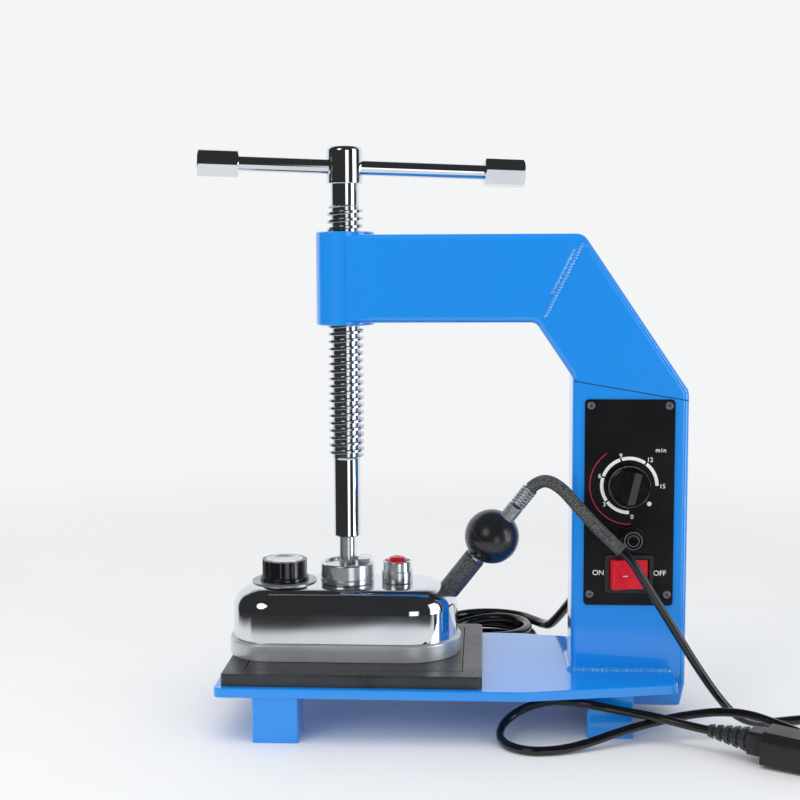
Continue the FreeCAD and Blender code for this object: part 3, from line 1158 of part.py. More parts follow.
def main():
    """Centres the machine over the origin and writes each piece."""
    os.makedirs("parts", exist_ok=True)
    nodes = build()
    body = FreeCAD.BoundBox()
    for name, shape in nodes.items():
        if name not in CORD_NODES:
            body.add(shape.optimalBoundingBox())
    shift = -(body.XMin + body.XMax) / 2
    print("screw axis at x %.4f; box x %.2f..%.2f y %.2f..%.2f z %.2f..%.2f" % (
        shift, body.XMin + shift, body.XMax + shift, body.YMin, body.YMax, body.ZMin, body.ZMax))
    triangles = 0
    for name, shape in nodes.items():
        placed = moved(shape, x=shift)
        if not placed.isValid():
            print("not valid:", name)
        triangles += len(placed.copy().tessellate(0.1)[1])
        placed.exportStep("parts/" + name + ".step")
    print("%d nodes, %d triangles" % (len(nodes), triangles))


main()
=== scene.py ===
"""Bench tire vulcanizing machine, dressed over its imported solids.

A welded and enamelled C-frame carries a chromed lead screw that presses a heated head onto a rubber pad.
Lengths are written in millimetres about the screw's axis on the bench, and turned to metres by one function.
"""
import logging
import math
from collections.abc import Callable, Sequence
from dataclasses import dataclass, field
from enum import Enum

import bmesh
import bpy
from mathutils import Matrix, Vector


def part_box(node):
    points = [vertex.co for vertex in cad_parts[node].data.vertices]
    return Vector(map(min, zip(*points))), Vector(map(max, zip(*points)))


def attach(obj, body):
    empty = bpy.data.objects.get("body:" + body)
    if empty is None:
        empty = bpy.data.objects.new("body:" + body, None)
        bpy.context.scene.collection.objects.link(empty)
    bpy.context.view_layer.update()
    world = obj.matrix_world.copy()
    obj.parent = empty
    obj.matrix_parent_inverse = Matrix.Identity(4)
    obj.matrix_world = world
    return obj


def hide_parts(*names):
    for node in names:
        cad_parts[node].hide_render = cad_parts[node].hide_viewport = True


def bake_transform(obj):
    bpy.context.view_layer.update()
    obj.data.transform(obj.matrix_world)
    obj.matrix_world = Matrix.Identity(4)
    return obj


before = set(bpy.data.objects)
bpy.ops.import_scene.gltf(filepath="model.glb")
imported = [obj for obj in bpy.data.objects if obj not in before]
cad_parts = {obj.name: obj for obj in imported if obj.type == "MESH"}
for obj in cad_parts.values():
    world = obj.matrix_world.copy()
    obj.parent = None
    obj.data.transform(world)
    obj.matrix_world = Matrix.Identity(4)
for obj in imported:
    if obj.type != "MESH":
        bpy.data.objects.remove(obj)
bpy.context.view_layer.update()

MM = 0.001
SCREW_AXIS_X = sum(corner.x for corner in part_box("screw_hub")) / 2

log = logging.getLogger("vulcanizer")

Point = tuple[float, float, float]
Pair = tuple[float, float]
Tree, Socket = bpy.types.NodeTree, bpy.types.NodeSocket

UP, FRONT = Vector((0, 0, 1)), Vector((0, -1, 0))


def at(x: float, y: float, z: float) -> Vector:
    """Point of the part's frame, in metres.

    Args:
        x: Millimetres right of the screw's axis.
        y: Millimetres toward the back.
        z: Millimetres above the bench.

    Returns:
        The point in metres.
    """
    return Vector((x * MM + SCREW_AXIS_X, y * MM, z * MM))


def linear(colour: str) -> tuple[float, float, float, float]:
    """Linear colour of an sRGB hex value.

    Args:
        colour: Six hex digits, with or without a leading hash.

    Returns:
        Red, green, blue and alpha as a shader socket takes them.
    """
    digits = colour.lstrip("#")
    parts = [int(digits[i:i + 2], 16) / 255 for i in (0, 2, 4)]
    bent = [c / 12.92 if c <= 0.04045 else ((c + 0.055) / 1.055) ** 2.4 for c in parts]
    return (bent[0], bent[1], bent[2], 1.0)


def add_node(tree: Tree, kind: str, values: dict | None = None, links: dict | None = None,
             **settings: object) -> bpy.types.Node:
    """Adds a shader node with its settings, socket values and links.

    Args:
        tree: The node tree that takes it.
        kind: The node's type, without its first words, which all shader nodes share.
        values: Input sockets, by name or number, and their values.
        links: Input sockets, by name or number, and the output sockets that feed them.
        **settings: The node's own options.

    Returns:
        The new node.
    """
    node = tree.nodes.new("ShaderNode" + kind)
    for key, setting in settings.items():
        setattr(node, key, setting)
    for key, value in (values or {}).items():
        node.inputs[key].default_value = value
    for key, socket in (links or {}).items():
        tree.links.new(socket, node.inputs[key])
    return node


def cleared_tree(owner: bpy.types.Material | bpy.types.World) -> Tree:
    """Node tree of a material or a world, emptied."""
    owner.use_nodes = True
    owner.node_tree.nodes.clear()
    return owner.node_tree


def placed(name: str, data: bpy.types.ID) -> bpy.types.Object:
    """New object of some data, linked into the scene."""
    thing = bpy.data.objects.new(name, data)
    bpy.context.scene.collection.objects.link(thing)
    return thing


class Grain(Enum):
    """How a surface was made, as the eye sees it."""
    PEEL = "sprayed film with a slight orange peel"
    POLISHED = "buffed, with faint smears"
    BRUSHED = "level lines left by a belt or a lathe about the upright axis"
    TURNED = "lathe rings across the piece's own axis"
    MOULDED = "fine even grain of a moulding tool"
    PRINTED = "flat sheet with a fine tooth"
    WRINKLE = "small raised cells between fine dark lines, as of a wrinkle coat or a fine weave"


@dataclass(frozen=True)
class Finish:
    """One real surface: what it is, its colours, and the size of its pattern.

    Sizes are real millimetres. The grain moves colour, gloss and relief a little, by its share. The cloud is
    the slow change over the piece that dust, handling and uneven film leave. The swing is how far the
    roughness goes to either side, and the octaves are how much fine detail the grain has.
    """
    name: str
    slot: str
    colour: str
    shade: str
    roughness: float
    grain: Grain
    grain_mm: float
    relief_mm: float
    metallic: float = 0.0
    swing: float = 0.05
    cloud_mm: float = 40.0
    coat: float = 0.0
    ior: float = 1.5
    transmission: float = 0.0
    grain_share: float = 0.4
    octaves: float = 3.0
    coat_ior: float = 1.5

    def stretch(self) -> Point:
        """Scale of the grain along X, Y and Z, per metre."""
        fine = 1 / (self.grain_mm * MM)
        drawn_out = {Grain.BRUSHED: 0.02, Grain.TURNED: 0.01}.get(self.grain, 1.0)
        return (fine * drawn_out, fine * drawn_out, fine)

    def pattern(self, tree: Tree, place: Socket) -> Socket:
        """Grain of the surface, from 0 to 1.

        Args:
            tree: The material's node tree.
            place: The piece's own coordinates.

        Returns:
            The grain's socket.
        """
        spot = add_node(tree, "Mapping", {"Scale": self.stretch()}, {"Vector": place},
                        vector_type="POINT").outputs[0]
        if self.grain is not Grain.WRINKLE:
            return add_node(tree, "TexNoise", {"Scale": 1.0, "Detail": self.octaves, "Roughness": 0.6},
                            {"Vector": spot}).outputs["Fac"]
        # Thin dark lines between broad raised cells; the colour follows them, so the raised cells take the
        # lighter of the finish's two colours as a painted highlight.
        cells = add_node(tree, "TexVoronoi", {"Scale": 1.0, "Randomness": 0.9}, {"Vector": spot},
                         feature="DISTANCE_TO_EDGE").outputs["Distance"]
        return add_node(tree, "MapRange", {"From Min": 0.03, "From Max": 0.3, "To Min": 0.28, "To Max": 0.72},
                        {"Value": cells}).outputs[0]

    def material(self) -> bpy.types.Material:
        """The Blender material, built once and then found by its name."""
        known = bpy.data.materials.get(self.name)
        if known:
            return known
        material = bpy.data.materials.new(self.name)
        tree = cleared_tree(material)
        place = add_node(tree, "TexCoord").outputs["Object"]
        grain = self.pattern(tree, place)
        cloud = add_node(tree, "TexNoise",
                         {"Scale": 1 / (self.cloud_mm * MM), "Detail": 4.0, "Roughness": 0.55},
                         {"Vector": place})
        share = add_node(tree, "Mix", {"Factor": self.grain_share},
                         {"A": cloud.outputs["Fac"], "B": grain}, data_type="FLOAT")
        middle = {"From Min": 0.3, "From Max": 0.7}
        spread = add_node(tree, "MapRange", middle, {"Value": share.outputs[0]})
        tint = add_node(tree, "Mix", {6: linear(self.colour), 7: linear(self.shade)},
                        {0: spread.outputs[0]}, data_type="RGBA")
        gloss = add_node(tree, "MapRange",
                         {**middle, "To Min": max(0.02, self.roughness - self.swing),
                          "To Max": self.roughness + self.swing},
                         {"Value": share.outputs[0]})
        bump = add_node(tree, "Bump", {"Strength": 1.0, "Distance": self.relief_mm * MM}, {"Height": grain})
        shader = add_node(tree, "BsdfPrincipled",
                          {"Metallic": self.metallic, "IOR": self.ior, "Coat Weight": self.coat,
                           "Coat Roughness": 0.04, "Coat IOR": self.coat_ior,
                           "Transmission Weight": self.transmission},
                          {"Base Color": tint.outputs[2], "Roughness": gloss.outputs[0],
                           "Normal": bump.outputs[0]})
        add_node(tree, "OutputMaterial", links={"Surface": shader.outputs[0]})
        return material


# Enamel: sprayed on welded steel and baked, so it is glossy, level and slightly pebbled.
ENAMEL = Finish("blue_baked_enamel", "blue_enamel", "#128EEC", "#108BE5", 0.22, Grain.PEEL, 2.2, 0.01,
                coat=0.8, swing=0.04, cloud_mm=90)
# Weld seams under the same enamel: thicker film, and a lighter blue along the whole bead as a painted
# highlight for the glints on the weld.
WELD_ENAMEL = Finish("enamel_over_weld", "blue_enamel", "#3FA4F2", "#1688E2", 0.12, Grain.PEEL, 1.1, 0.08,
                     coat=1.0, cloud_mm=12, coat_ior=2.3)
# Joint along the seam below the elbow: a dark, dry line laid over the enamel as painted shade of its groove,
# which is not cut.
SEAM_GROOVE_SHADE = Finish("seam_groove_painted_shade", "blue_enamel", "#0B2F57", "#07203E", 0.6, Grain.MOULDED, 0.6, 0.02,
                    cloud_mm=5)
# Chrome plate on polished steel: a mirror, with faint smears from handling.
CHROME = Finish("chrome_plate", "chrome", "#E6E8EA", "#DBDEE1", 0.06, Grain.POLISHED, 14.0, 0.0, metallic=1.0,
                swing=0.025, cloud_mm=30)
# Chromed pressing: the drawn cover keeps a slow waviness under the plate.
CHROME_PRESSING = Finish("chrome_on_pressing", "chrome", "#E4E7E9", "#D9DCE0", 0.035, Grain.POLISHED, 42.0,
                         0.05, metallic=1.0, swing=0.012, cloud_mm=45, octaves=0.6)
# Chromed turnings: plated straight over the lathe finish, so the mirror is soft and drawn into level rings.
CHROME_TURNED = Finish("chrome_on_turnings", "chrome", "#E6E8EA", "#CDD0D4", 0.2, Grain.BRUSHED, 0.4, 0.012,
                       metallic=0.93, swing=0.06, cloud_mm=11)
# Chromed thread: plated over turned flanks, with a lighter and greyer tone in fine rings along the screw.
CHROME_THREAD = Finish("chrome_on_thread", "bright_steel", "#DADCDE", "#B9BBBE", 0.16, Grain.TURNED, 0.35,
                       0.02, metallic=1.0, swing=0.06, cloud_mm=9)
# Cast aluminium, turned and buffed on its rim: level lines and a soft mirror.
BUFFED_ALUMINIUM = Finish("buffed_cast_aluminium", "cast_sole", "#DBDCDC", "#BABCBE", 0.34, Grain.BRUSHED,
                          0.45, 0.02, metallic=0.62, swing=0.09, cloud_mm=22)
# Turned bright steel: fine rings round the piece that draw the highlight out.
BRIGHT_STEEL = Finish("turned_bright_steel", "bright_steel", "#CFD1D4", "#B5B8BC", 0.2, Grain.TURNED, 0.4,
                      0.012, metallic=1.0, cloud_mm=14)
# Spring wire: drawn, coiled and plated, darker in random patches along the wire.
SPRING_WIRE = Finish("plated_spring_wire", "bright_steel", "#BFC1C4", "#707275", 0.24, Grain.POLISHED, 0.8,
                     0.01, metallic=0.55, swing=0.06, cloud_mm=6)
# Satin aluminium sheet and turned foot: an even grey sheen with no mirror.
SATIN_ALUMINIUM = Finish("satin_aluminium", "grey_metal", "#C2C5C8", "#A6A9AD", 0.34, Grain.MOULDED, 0.6,
                         0.02, metallic=0.75, swing=0.06, cloud_mm=12)
# Press-moulded rubber: dull black with a fine tool grain and a grey bloom.
RUBBER = Finish("moulded_rubber", "black_rubber", "#202124", "#3E4043", 0.34, Grain.MOULDED, 0.9, 0.04,
                swing=0.12, cloud_mm=24)
# Phenolic ball: compression moulded and polished, deep black with soft highlights.
PHENOLIC = Finish("polished_black_phenolic", "gloss_black", "#161618", "#212123", 0.27, Grain.POLISHED,
                  5.0, 0.004, coat=0.22, cloud_mm=16)
# Flash left where mould halves met, rubbed grey, on the ball's line; the fuse cap's rings take the same grey
# as a painted highlight on their edges.
FLASH_AND_RING_HIGHLIGHT = Finish("moulding_flash_and_ring_highlight", "gloss_black", "#77787A", "#3A3B3D", 0.3, Grain.MOULDED, 0.8, 0.004,
                       cloud_mm=9)
# Knobs and fuse cap: gloss ABS, smoke black, with a sharp highlight.
KNOB_BLACK = Finish("gloss_black_abs", "black_plastic", "#101012", "#1A1B1D", 0.1, Grain.POLISHED, 3.0, 0.006,
                    coat=0.2, swing=0.04, cloud_mm=9)
# Nylon and ABS mouldings: black with a spark-eroded grain.
MOULDED_BLACK = Finish("moulded_black_plastic", "black_plastic", "#161618", "#1F2022", 0.38, Grain.MOULDED,
                       0.5, 0.02, swing=0.06, cloud_mm=12)
# Grip of the handle: steel tube stoved in black wrinkle coat, with light grey on the raised cell tops as a
# painted highlight.
GRIP_BLACK = Finish("black_wrinkle_coat", "black_plastic", "#161718", "#77797B", 0.4, Grain.WRINKLE, 1.1, 0.3,
                    swing=0.1, cloud_mm=5, grain_share=0.92)
# Panel screws: blackened steel flecked light grey at random over the head, a painted glint for the highlights
# on their rims.
BLACKENED_STEEL = Finish("blackened_steel", "bright_steel", "#37383A", "#96989C", 0.34, Grain.POLISHED,
                         0.9, 0.01, metallic=0.5, swing=0.08, cloud_mm=2)
# Ferrule of the handle: plated steel, rolled into close rings, darker in random patches.
DARK_STEEL = Finish("dark_plated_steel", "bright_steel", "#C4C6C9", "#77797C", 0.22, Grain.POLISHED, 1.2,
                    0.01, metallic=0.5, swing=0.06, cloud_mm=4)
# Depth mark turned into the tip rod: a dark hairline ring laid on the rod as painted shade of its groove,
# which is not cut.
SCRIBE_GROOVE_SHADE = Finish("scribe_groove_painted_shade", "bright_steel", "#4A4B4D", "#2A2B2C", 0.5, Grain.MOULDED, 0.4, 0.004,
                      cloud_mm=3)
# Panel sheet: black satin film laid on steel, with a dull even sheen.
PANEL_FILM = Finish("black_satin_panel_film", "panel_black", "#0D0C10", "#141317", 0.2, Grain.PRINTED,
                    0.35, 0.002, cloud_mm=30, ior=1.4)
# Screen-printed and pad-printed ink: flat, with a fine tooth and no shine.
WHITE_INK = Finish("white_screen_ink", "panel_black", "#FAFAF8", "#EEEEEB", 0.5, Grain.PRINTED, 0.3, 0.004,
                   cloud_mm=6)
RED_INK = Finish("red_screen_ink", "panel_black", "#C4242A", "#A81D24", 0.5, Grain.PRINTED, 0.3, 0.004,
                 cloud_mm=6)
ROCKER_INK = Finish("white_pad_print", "red_plastic", "#F2EDEC", "#E2D6D5", 0.4, Grain.PRINTED, 0.4, 0.002,
                    cloud_mm=3)
# Rocker: red polycarbonate, moulded glossy.
RED_POLYCARBONATE = Finish("red_polycarbonate", "red_plastic", "#E32A3B", "#CC1221", 0.15, Grain.POLISHED,
                           2.0, 0.004, coat=0.3, swing=0.04, cloud_mm=9)
# Pilot lens: red acrylic, domed and clear enough to deepen at the rim.
RED_ACRYLIC = Finish("red_acrylic_lens", "red_plastic", "#C9101A", "#8E0810", 0.07, Grain.POLISHED, 2.0,
                     0.002, coat=0.8, swing=0.02, cloud_mm=5)
# Inner pieces: drawn brass, turned bronze, clear fuse glass and glazed steatite.
BRASS = Finish("drawn_brass", "brass", "#C9A356", "#A98342", 0.28, Grain.MOULDED, 0.7, 0.01, metallic=1.0,
               cloud_mm=5)
BRONZE = Finish("turned_bronze", "bronze", "#B08A55", "#8C6B3F", 0.3, Grain.TURNED, 0.4, 0.02, metallic=1.0,
                cloud_mm=8)
FUSE_GLASS = Finish("fuse_glass", "glass", "#EEF2F3", "#DFE6E8", 0.05, Grain.POLISHED, 2.0, 0.0, ior=1.52,
                    transmission=0.9, swing=0.02, cloud_mm=8)
STEATITE = Finish("glazed_steatite", "white_ceramic", "#E4E1D8", "#D5D1C6", 0.3, Grain.MOULDED, 0.8, 0.02,
                  cloud_mm=7)
# Extruded PVC jacket: black, with a soft shine and a slight waviness along it.
CORD_JACKET = Finish("extruded_black_jacket", "cord_rubber", "#0C0C0E", "#141416", 0.2, Grain.MOULDED, 2.4,
                     0.015, cloud_mm=15, coat=0.2)
# Braided glass-fibre sleeve, varnished dark grey: matte, with the strands catching the light.
SLEEVE_BRAID = Finish("varnished_braid", "cord_rubber", "#222222", "#747473", 0.42, Grain.WRINKLE, 1.2, 0.16,
                      swing=0.08, cloud_mm=4, grain_share=0.9)

PAINTED_NODES = ("base_plate", "leg_front_left", "leg_back_left", "leg_front_right", "leg_back_right",
                 "arm_box", "elbow_box", "column_box", "nose_boss")
NODE_FINISHES = {
    ENAMEL: PAINTED_NODES,
    CHROME_THREAD: ("lead_screw",),
    CORD_JACKET: ("mains_lead", "mains_coil", "head_lead"),
    SLEEVE_BRAID: ("lead_sleeve",),
    GRIP_BLACK: ("handle_grip",),
    BLACKENED_STEEL: ("panel_screws",),
    DARK_STEEL: ("handle_ferrule",),
    BRONZE: ("screw_nut",),
    RUBBER: ("pad_frame", "work_plate", "connector_relief", "mains_gland"),
    CHROME: ("screw_hub", "tommy_bar", "bar_nuts"),
    CHROME_TURNED: ("tip_rod", "head_cup", "lamp_bezel", "knob_cap"),
    CHROME_PRESSING: ("head_dome",),
    BRIGHT_STEEL: ("tip_ring", "tip_pin", "head_post", "thermostat_shaft", "timer_shaft", "handle_collar",
                   "heating_element"),
    SPRING_WIRE: ("relief_spring",),
    BUFFED_ALUMINIUM: ("heater_sole",),
    SATIN_ALUMINIUM: ("dial_disc", "handle_foot"),
    STEATITE: ("thermostat_body", "lamp_body", "terminal_block"),
    PHENOLIC: ("handle_ball",),
    KNOB_BLACK: ("thermostat_knob", "fuse_cap"),
    MOULDED_BLACK: ("lamp_ring", "timer_body", "timer_knob", "switch_housing", "fuse_holder",
                    "mains_plug", "connector_body"),
    PANEL_FILM: ("panel_plate",),
    RED_POLYCARBONATE: ("switch_rocker",),
    RED_ACRYLIC: ("lamp_lens",),
    BRASS: ("switch_terminals", "plug_pins"),
    FUSE_GLASS: ("fuse_link",),
}


def dress(thing: bpy.types.Object, finish: Finish) -> None:
    """Gives an object one finish."""
    thing.data.materials.clear()
    thing.data.materials.append(finish.material())


@dataclass
class Geometry:
    """Points in metres and the faces between them."""
    points: list[Vector] = field(default_factory=list)
    faces: list[tuple[int, ...]] = field(default_factory=list)

    def add(self, other: "Geometry") -> "Geometry":
        """Takes in another shape.

        Args:
            other: The shape to add.

        Returns:
            This shape.
        """
        start = len(self.points)
        self.points += other.points
        self.faces += [tuple(start + i for i in face) for face in other.faces]
        return self


def piece(name: str, shape: Geometry, finish: Finish, body: str, smooth_angle: float = 35.0,
          replaces: str = "") -> bpy.types.Object:
    """New mesh piece that rides on a body.

    Args:
        name: The piece's name.
        shape: Its geometry.
        finish: Its surface.
        body: The CAD body that it moves with.
        smooth_angle: Degrees above which an edge stays sharp.
        replaces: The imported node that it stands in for, if any.

    Returns:
        The new object.
    """
    mesh = bpy.data.meshes.new(name)
    mesh.from_pydata(shape.points, [], shape.faces)
    shell = bmesh.new()
    shell.from_mesh(mesh)
    bmesh.ops.remove_doubles(shell, verts=shell.verts, dist=1e-7)
    bmesh.ops.recalc_face_normals(shell, faces=shell.faces)
    shell.to_mesh(mesh)
    shell.free()
    mesh.shade_smooth()
    mesh.set_sharp_from_angle(angle=math.radians(smooth_angle))
    thing = placed(name, mesh)
    dress(thing, finish)
    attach(thing, body)
    if replaces:
        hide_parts(replaces)
    log.info("%s: %d points, %s", name, len(mesh.vertices), finish.name)
    return thing


def turn_to(way: Vector) -> Matrix:
    """Turn that takes Z to a direction."""
    return way.to_track_quat("Z", "Y").to_matrix().to_4x4()


def lathe(outline: Sequence[Pair], segments: int, place: Vector, way: Vector = UP) -> Geometry:
    """Outline turned about an axis.

    Args:
        outline: Radius and height pairs in millimetres.
        segments: Steps round the axis.
        place: Where the axis starts, in metres.
        way: The axis's direction.

    Returns:
        The shape.
    """
    turn = Matrix.Translation(place) @ turn_to(way)
    points, faces = [], []
    for k in range(segments):
        angle = 2 * math.pi * k / segments
        points += [turn @ Vector((radius * MM * math.cos(angle), radius * MM * math.sin(angle), height * MM))
                   for radius, height in outline]
    rows = len(outline)
    for k in range(segments):
        ahead = (k + 1) % segments
        for j in range(rows - 1):
            faces.append((k * rows + j, ahead * rows + j, ahead * rows + j + 1, k * rows + j + 1))
    return Geometry(points, faces)


def hoop(radius: float, wire: float, place: Vector, way: Vector, segments: int = 96) -> Geometry:
    """Thin round ring about an axis.

    Args:
        radius: Radius of its middle line in millimetres.
        wire: Radius of its section in millimetres.
        place: Its centre in metres.
        way: The axis's direction.
        segments: Steps round the ring.

    Returns:
        The shape.
    """
    section = [(radius + wire * math.cos(math.radians(a)), wire * math.sin(math.radians(a)))
               for a in range(0, 361, 45)]
    return lathe(section, segments, place, way)


def open_tube(line: list[Vector], sides: int, radius_at: Callable[[int, float], float]) -> Geometry:
    """Tube along a line, closed at its start and open at its end.

    Args:
        line: Points of the middle line, in metres.
        sides: Steps round the tube.
        radius_at: Gives the radius in metres at a point's number and an angle.

    Returns:
        The shape.
    """
    points, faces = [], []
    for i, middle in enumerate(line):
        turn = turn_to((line[min(i + 1, len(line) - 1)] - line[max(i - 1, 0)]).normalized())
        for k in range(sides):
            angle = 2 * math.pi * k / sides
            radius = radius_at(i, angle)
            points.append(middle + turn @ Vector((radius * math.cos(angle), radius * math.sin(angle), 0)))
    for i in range(len(line) - 1):
        for k in range(sides):
            ahead = (k + 1) % sides
            faces.append((i * sides + k, i * sides + ahead, (i + 1) * sides + ahead, (i + 1) * sides + k))
    return Geometry(points, faces + [tuple(reversed(range(sides)))])


def closed_tube(line: list[Vector], radii: list[float], sides: int) -> Geometry:
    """Tube closed at both ends.

    Args:
        line: Points of the middle line, in metres.
        radii: Radius at each point, in metres.
        sides: Steps round the tube.

    Returns:
        The shape.
    """
    tube = open_tube(line, sides, lambda i, angle: radii[i])
    tube.faces.append(tuple((len(line) - 1) * sides + k for k in range(sides)))
    return tube


def sheet(outline: Sequence[Pair], front: float, back: float) -> Geometry:
    """Upright flat shape of an outline, seen from the front.

    Args:
        outline: X and Z pairs in millimetres.
        front: Y of its front face.
        back: Y of its back face.

    Returns:
        The shape.
    """
    count = len(outline)
    points = [at(x, front, z) for x, z in outline] + [at(x, back, z) for x, z in outline]
    faces = [tuple(range(count)), tuple(reversed(range(count, 2 * count)))]
    faces += [(k, (k + 1) % count, (k + 1) % count + count, k + count) for k in range(count)]
    return Geometry(points, faces)


@dataclass(frozen=True)
class Strip:
    """Strip of light that only mirrors show.

    It rises and falls at azimuths in radians, counted rightwards from straight out of the machine's front.
    It ends at its top, an upward share of the ray's direction.
    """
    rise: Pair
    fall: Pair
    top: Pair
    level: float


@dataclass(frozen=True)
class Softbox:
    """Rectangular lamp: place and target in millimetres, size in metres, power in watts."""
    name: str
    place: Point
    target: Point
    size: Pair
    watts: float


@dataclass
class Studio:
    """Camera, floor, world and lamps.

    Ramps are pairs of values where a smooth step starts and ends: metres on the floor, and shares of the
    ray's direction in the room.
    """
    camera_place: Point = (93.73, -960.6, 314.19)
    pitch_deg: float = 5.88
    yaw_deg: float = 3.42
    roll_deg: float = -0.24
    lens_mm: float = 64.517
    floor_half: float = 12.0
    fade_reach: Pair = (0.42, 1.25)
    clear_depth: Pair = (-0.18, -0.12)
    clear_reach: Pair = (0.36, 0.42)
    white: str = "#F4F5F6"
    even_light: float = 0.86
    dark_room: float = 0.035
    table_ramp: Pair = (-0.2605, -0.2545)
    table_level: float = 0.93
    backdrop_ramp: Pair = (0.3, 0.5)
    backdrop_top: Pair = (0.6, 0.85)
    strip_foot: Pair = (-0.25, -0.225)
    strips: tuple[Strip, ...] = (Strip((0.17, 0.24), (0.48, 0.6), (0.08, 0.16), 1.8),
                                 Strip((1.0, 1.12), (1.4, 1.52), (0.36, 0.55), 4.5))
    spot_way: Point = (-0.4357, -0.7861, 0.4384)
    spot_ramp: Pair = (0.962, 0.981)
    spot_level: float = 2.0
    softboxes: tuple[Softbox, ...] = (
        Softbox("overhead_softbox", (-100, -250, 1250), (40, 0, 150), (1.1, 0.8), 3.4),
        Softbox("left_softbox", (-750, -1150, 650), (40, 0, 180), (0.7, 1.1), 4.0),
        Softbox("right_softbox", (1250, -750, 600), (80, 0, 180), (0.4, 1.0), 1.8))

    def camera(self) -> None:
        """Camera at the photograph's place, with its axes from pitch, yaw and roll."""
        pitch, yaw, roll = (math.radians(a) for a in (self.pitch_deg, self.yaw_deg, self.roll_deg))
        ahead = Vector((-math.sin(yaw) * math.cos(pitch), math.cos(yaw) * math.cos(pitch), -math.sin(pitch)))
        level = Vector((math.cos(yaw), math.sin(yaw), 0))
        upright = level.cross(ahead)
        right = level * math.cos(roll) + upright * math.sin(roll)
        up = upright * math.cos(roll) - level * math.sin(roll)
        data = bpy.data.cameras.new("photo_camera")
        data.sensor_width, data.lens = 36, self.lens_mm
        data.clip_start, data.clip_end = 0.01, 60
        camera = placed("photo_camera", data)
        camera.matrix_world = Matrix.Translation(at(*self.camera_place)) @ Matrix(
            (right, up, -ahead)).transposed().to_4x4()
        bpy.context.scene.camera = camera

    def floor(self) -> None:
        """Pale floor that keeps the shadow near the machine and fades to the plain background.

        Mirrors see through it far out and in front of the machine, where the room's own table shows instead.
        """
        half = self.floor_half
        mesh = bpy.data.meshes.new("studio_floor")
        corners = [(-half, -half, 0), (half, -half, 0), (half, half, 0), (-half, half, 0)]
        mesh.from_pydata(corners, [], [(0, 1, 2, 3)])
        floor = placed("studio_floor", mesh)
        material = bpy.data.materials.new("pale_studio_floor")
        tree = cleared_tree(material)
        place = add_node(tree, "TexCoord").outputs["Object"]
        reach = add_node(tree, "VectorMath", links={0: place}, operation="LENGTH").outputs["Value"]
        speck = add_node(tree, "TexNoise", {"Scale": 9.0, "Detail": 3.0}, {"Vector": place})
        tint = add_node(tree, "Mix", {6: linear("#F7F6F4"), 7: linear("#F1F0EE")},
                        {0: speck.outputs["Fac"]}, data_type="RGBA")
        matte = add_node(tree, "BsdfPrincipled", {"Roughness": 0.6, "Specular IOR Level": 0.2},
                         {"Base Color": tint.outputs[2]})
        backdrop = add_node(tree, "Emission", {"Color": linear(self.white), "Strength": 1.0})
        clear = add_node(tree, "BsdfTransparent")
        rays = add_node(tree, "LightPath").outputs
        depth = add_node(tree, "SeparateXYZ", links={0: place}).outputs["Y"]
        clear_share = self.combine(tree, "MAXIMUM", self.ramp(tree, depth, self.clear_depth, (1.0, 0.0)),
                                   self.ramp(tree, reach, self.clear_reach))
        mirrored = self.combine(tree, "MULTIPLY", rays["Is Glossy Ray"], clear_share)
        seen = self.combine(tree, "MAXIMUM", rays["Is Camera Ray"], rays["Is Transmission Ray"])
        far = self.combine(tree, "MULTIPLY", seen, self.ramp(tree, reach, self.fade_reach))
        faded = add_node(tree, "MixShader", links={0: far, 1: matte.outputs[0], 2: backdrop.outputs[0]})
        mixed = add_node(tree, "MixShader", links={0: mirrored, 1: faded.outputs[0], 2: clear.outputs[0]})
        add_node(tree, "OutputMaterial", links={"Surface": mixed.outputs[0]})
        mesh.materials.append(material)

    def ramp(self, tree: Tree, value: Socket, span: Pair, levels: Pair = (0.0, 1.0)) -> Socket:
        """Smooth step between two levels.

        Args:
            tree: The node tree.
            value: The socket that is followed.
            span: Values where the step starts and ends.
            levels: Results before and after the step.

        Returns:
            The result's socket.
        """
        limits = {"From Min": span[0], "From Max": span[1], "To Min": levels[0], "To Max": levels[1]}
        smooth = add_node(tree, "MapRange", limits, {"Value": value}, interpolation_type="SMOOTHSTEP")
        return smooth.outputs[0]

    def combine(self, tree: Tree, operation: str, *sockets: Socket) -> Socket:
        """Several sockets brought together by one operation, such as their product or the largest of them.

        Args:
            tree: The node tree.
            operation: The operation's name.
            *sockets: What it is done to, in order.

        Returns:
            The result's socket.
        """
        result = sockets[0]
        for socket in sockets[1:]:
            result = add_node(tree, "Math", links={0: result, 1: socket}, operation=operation).outputs[0]
        return result

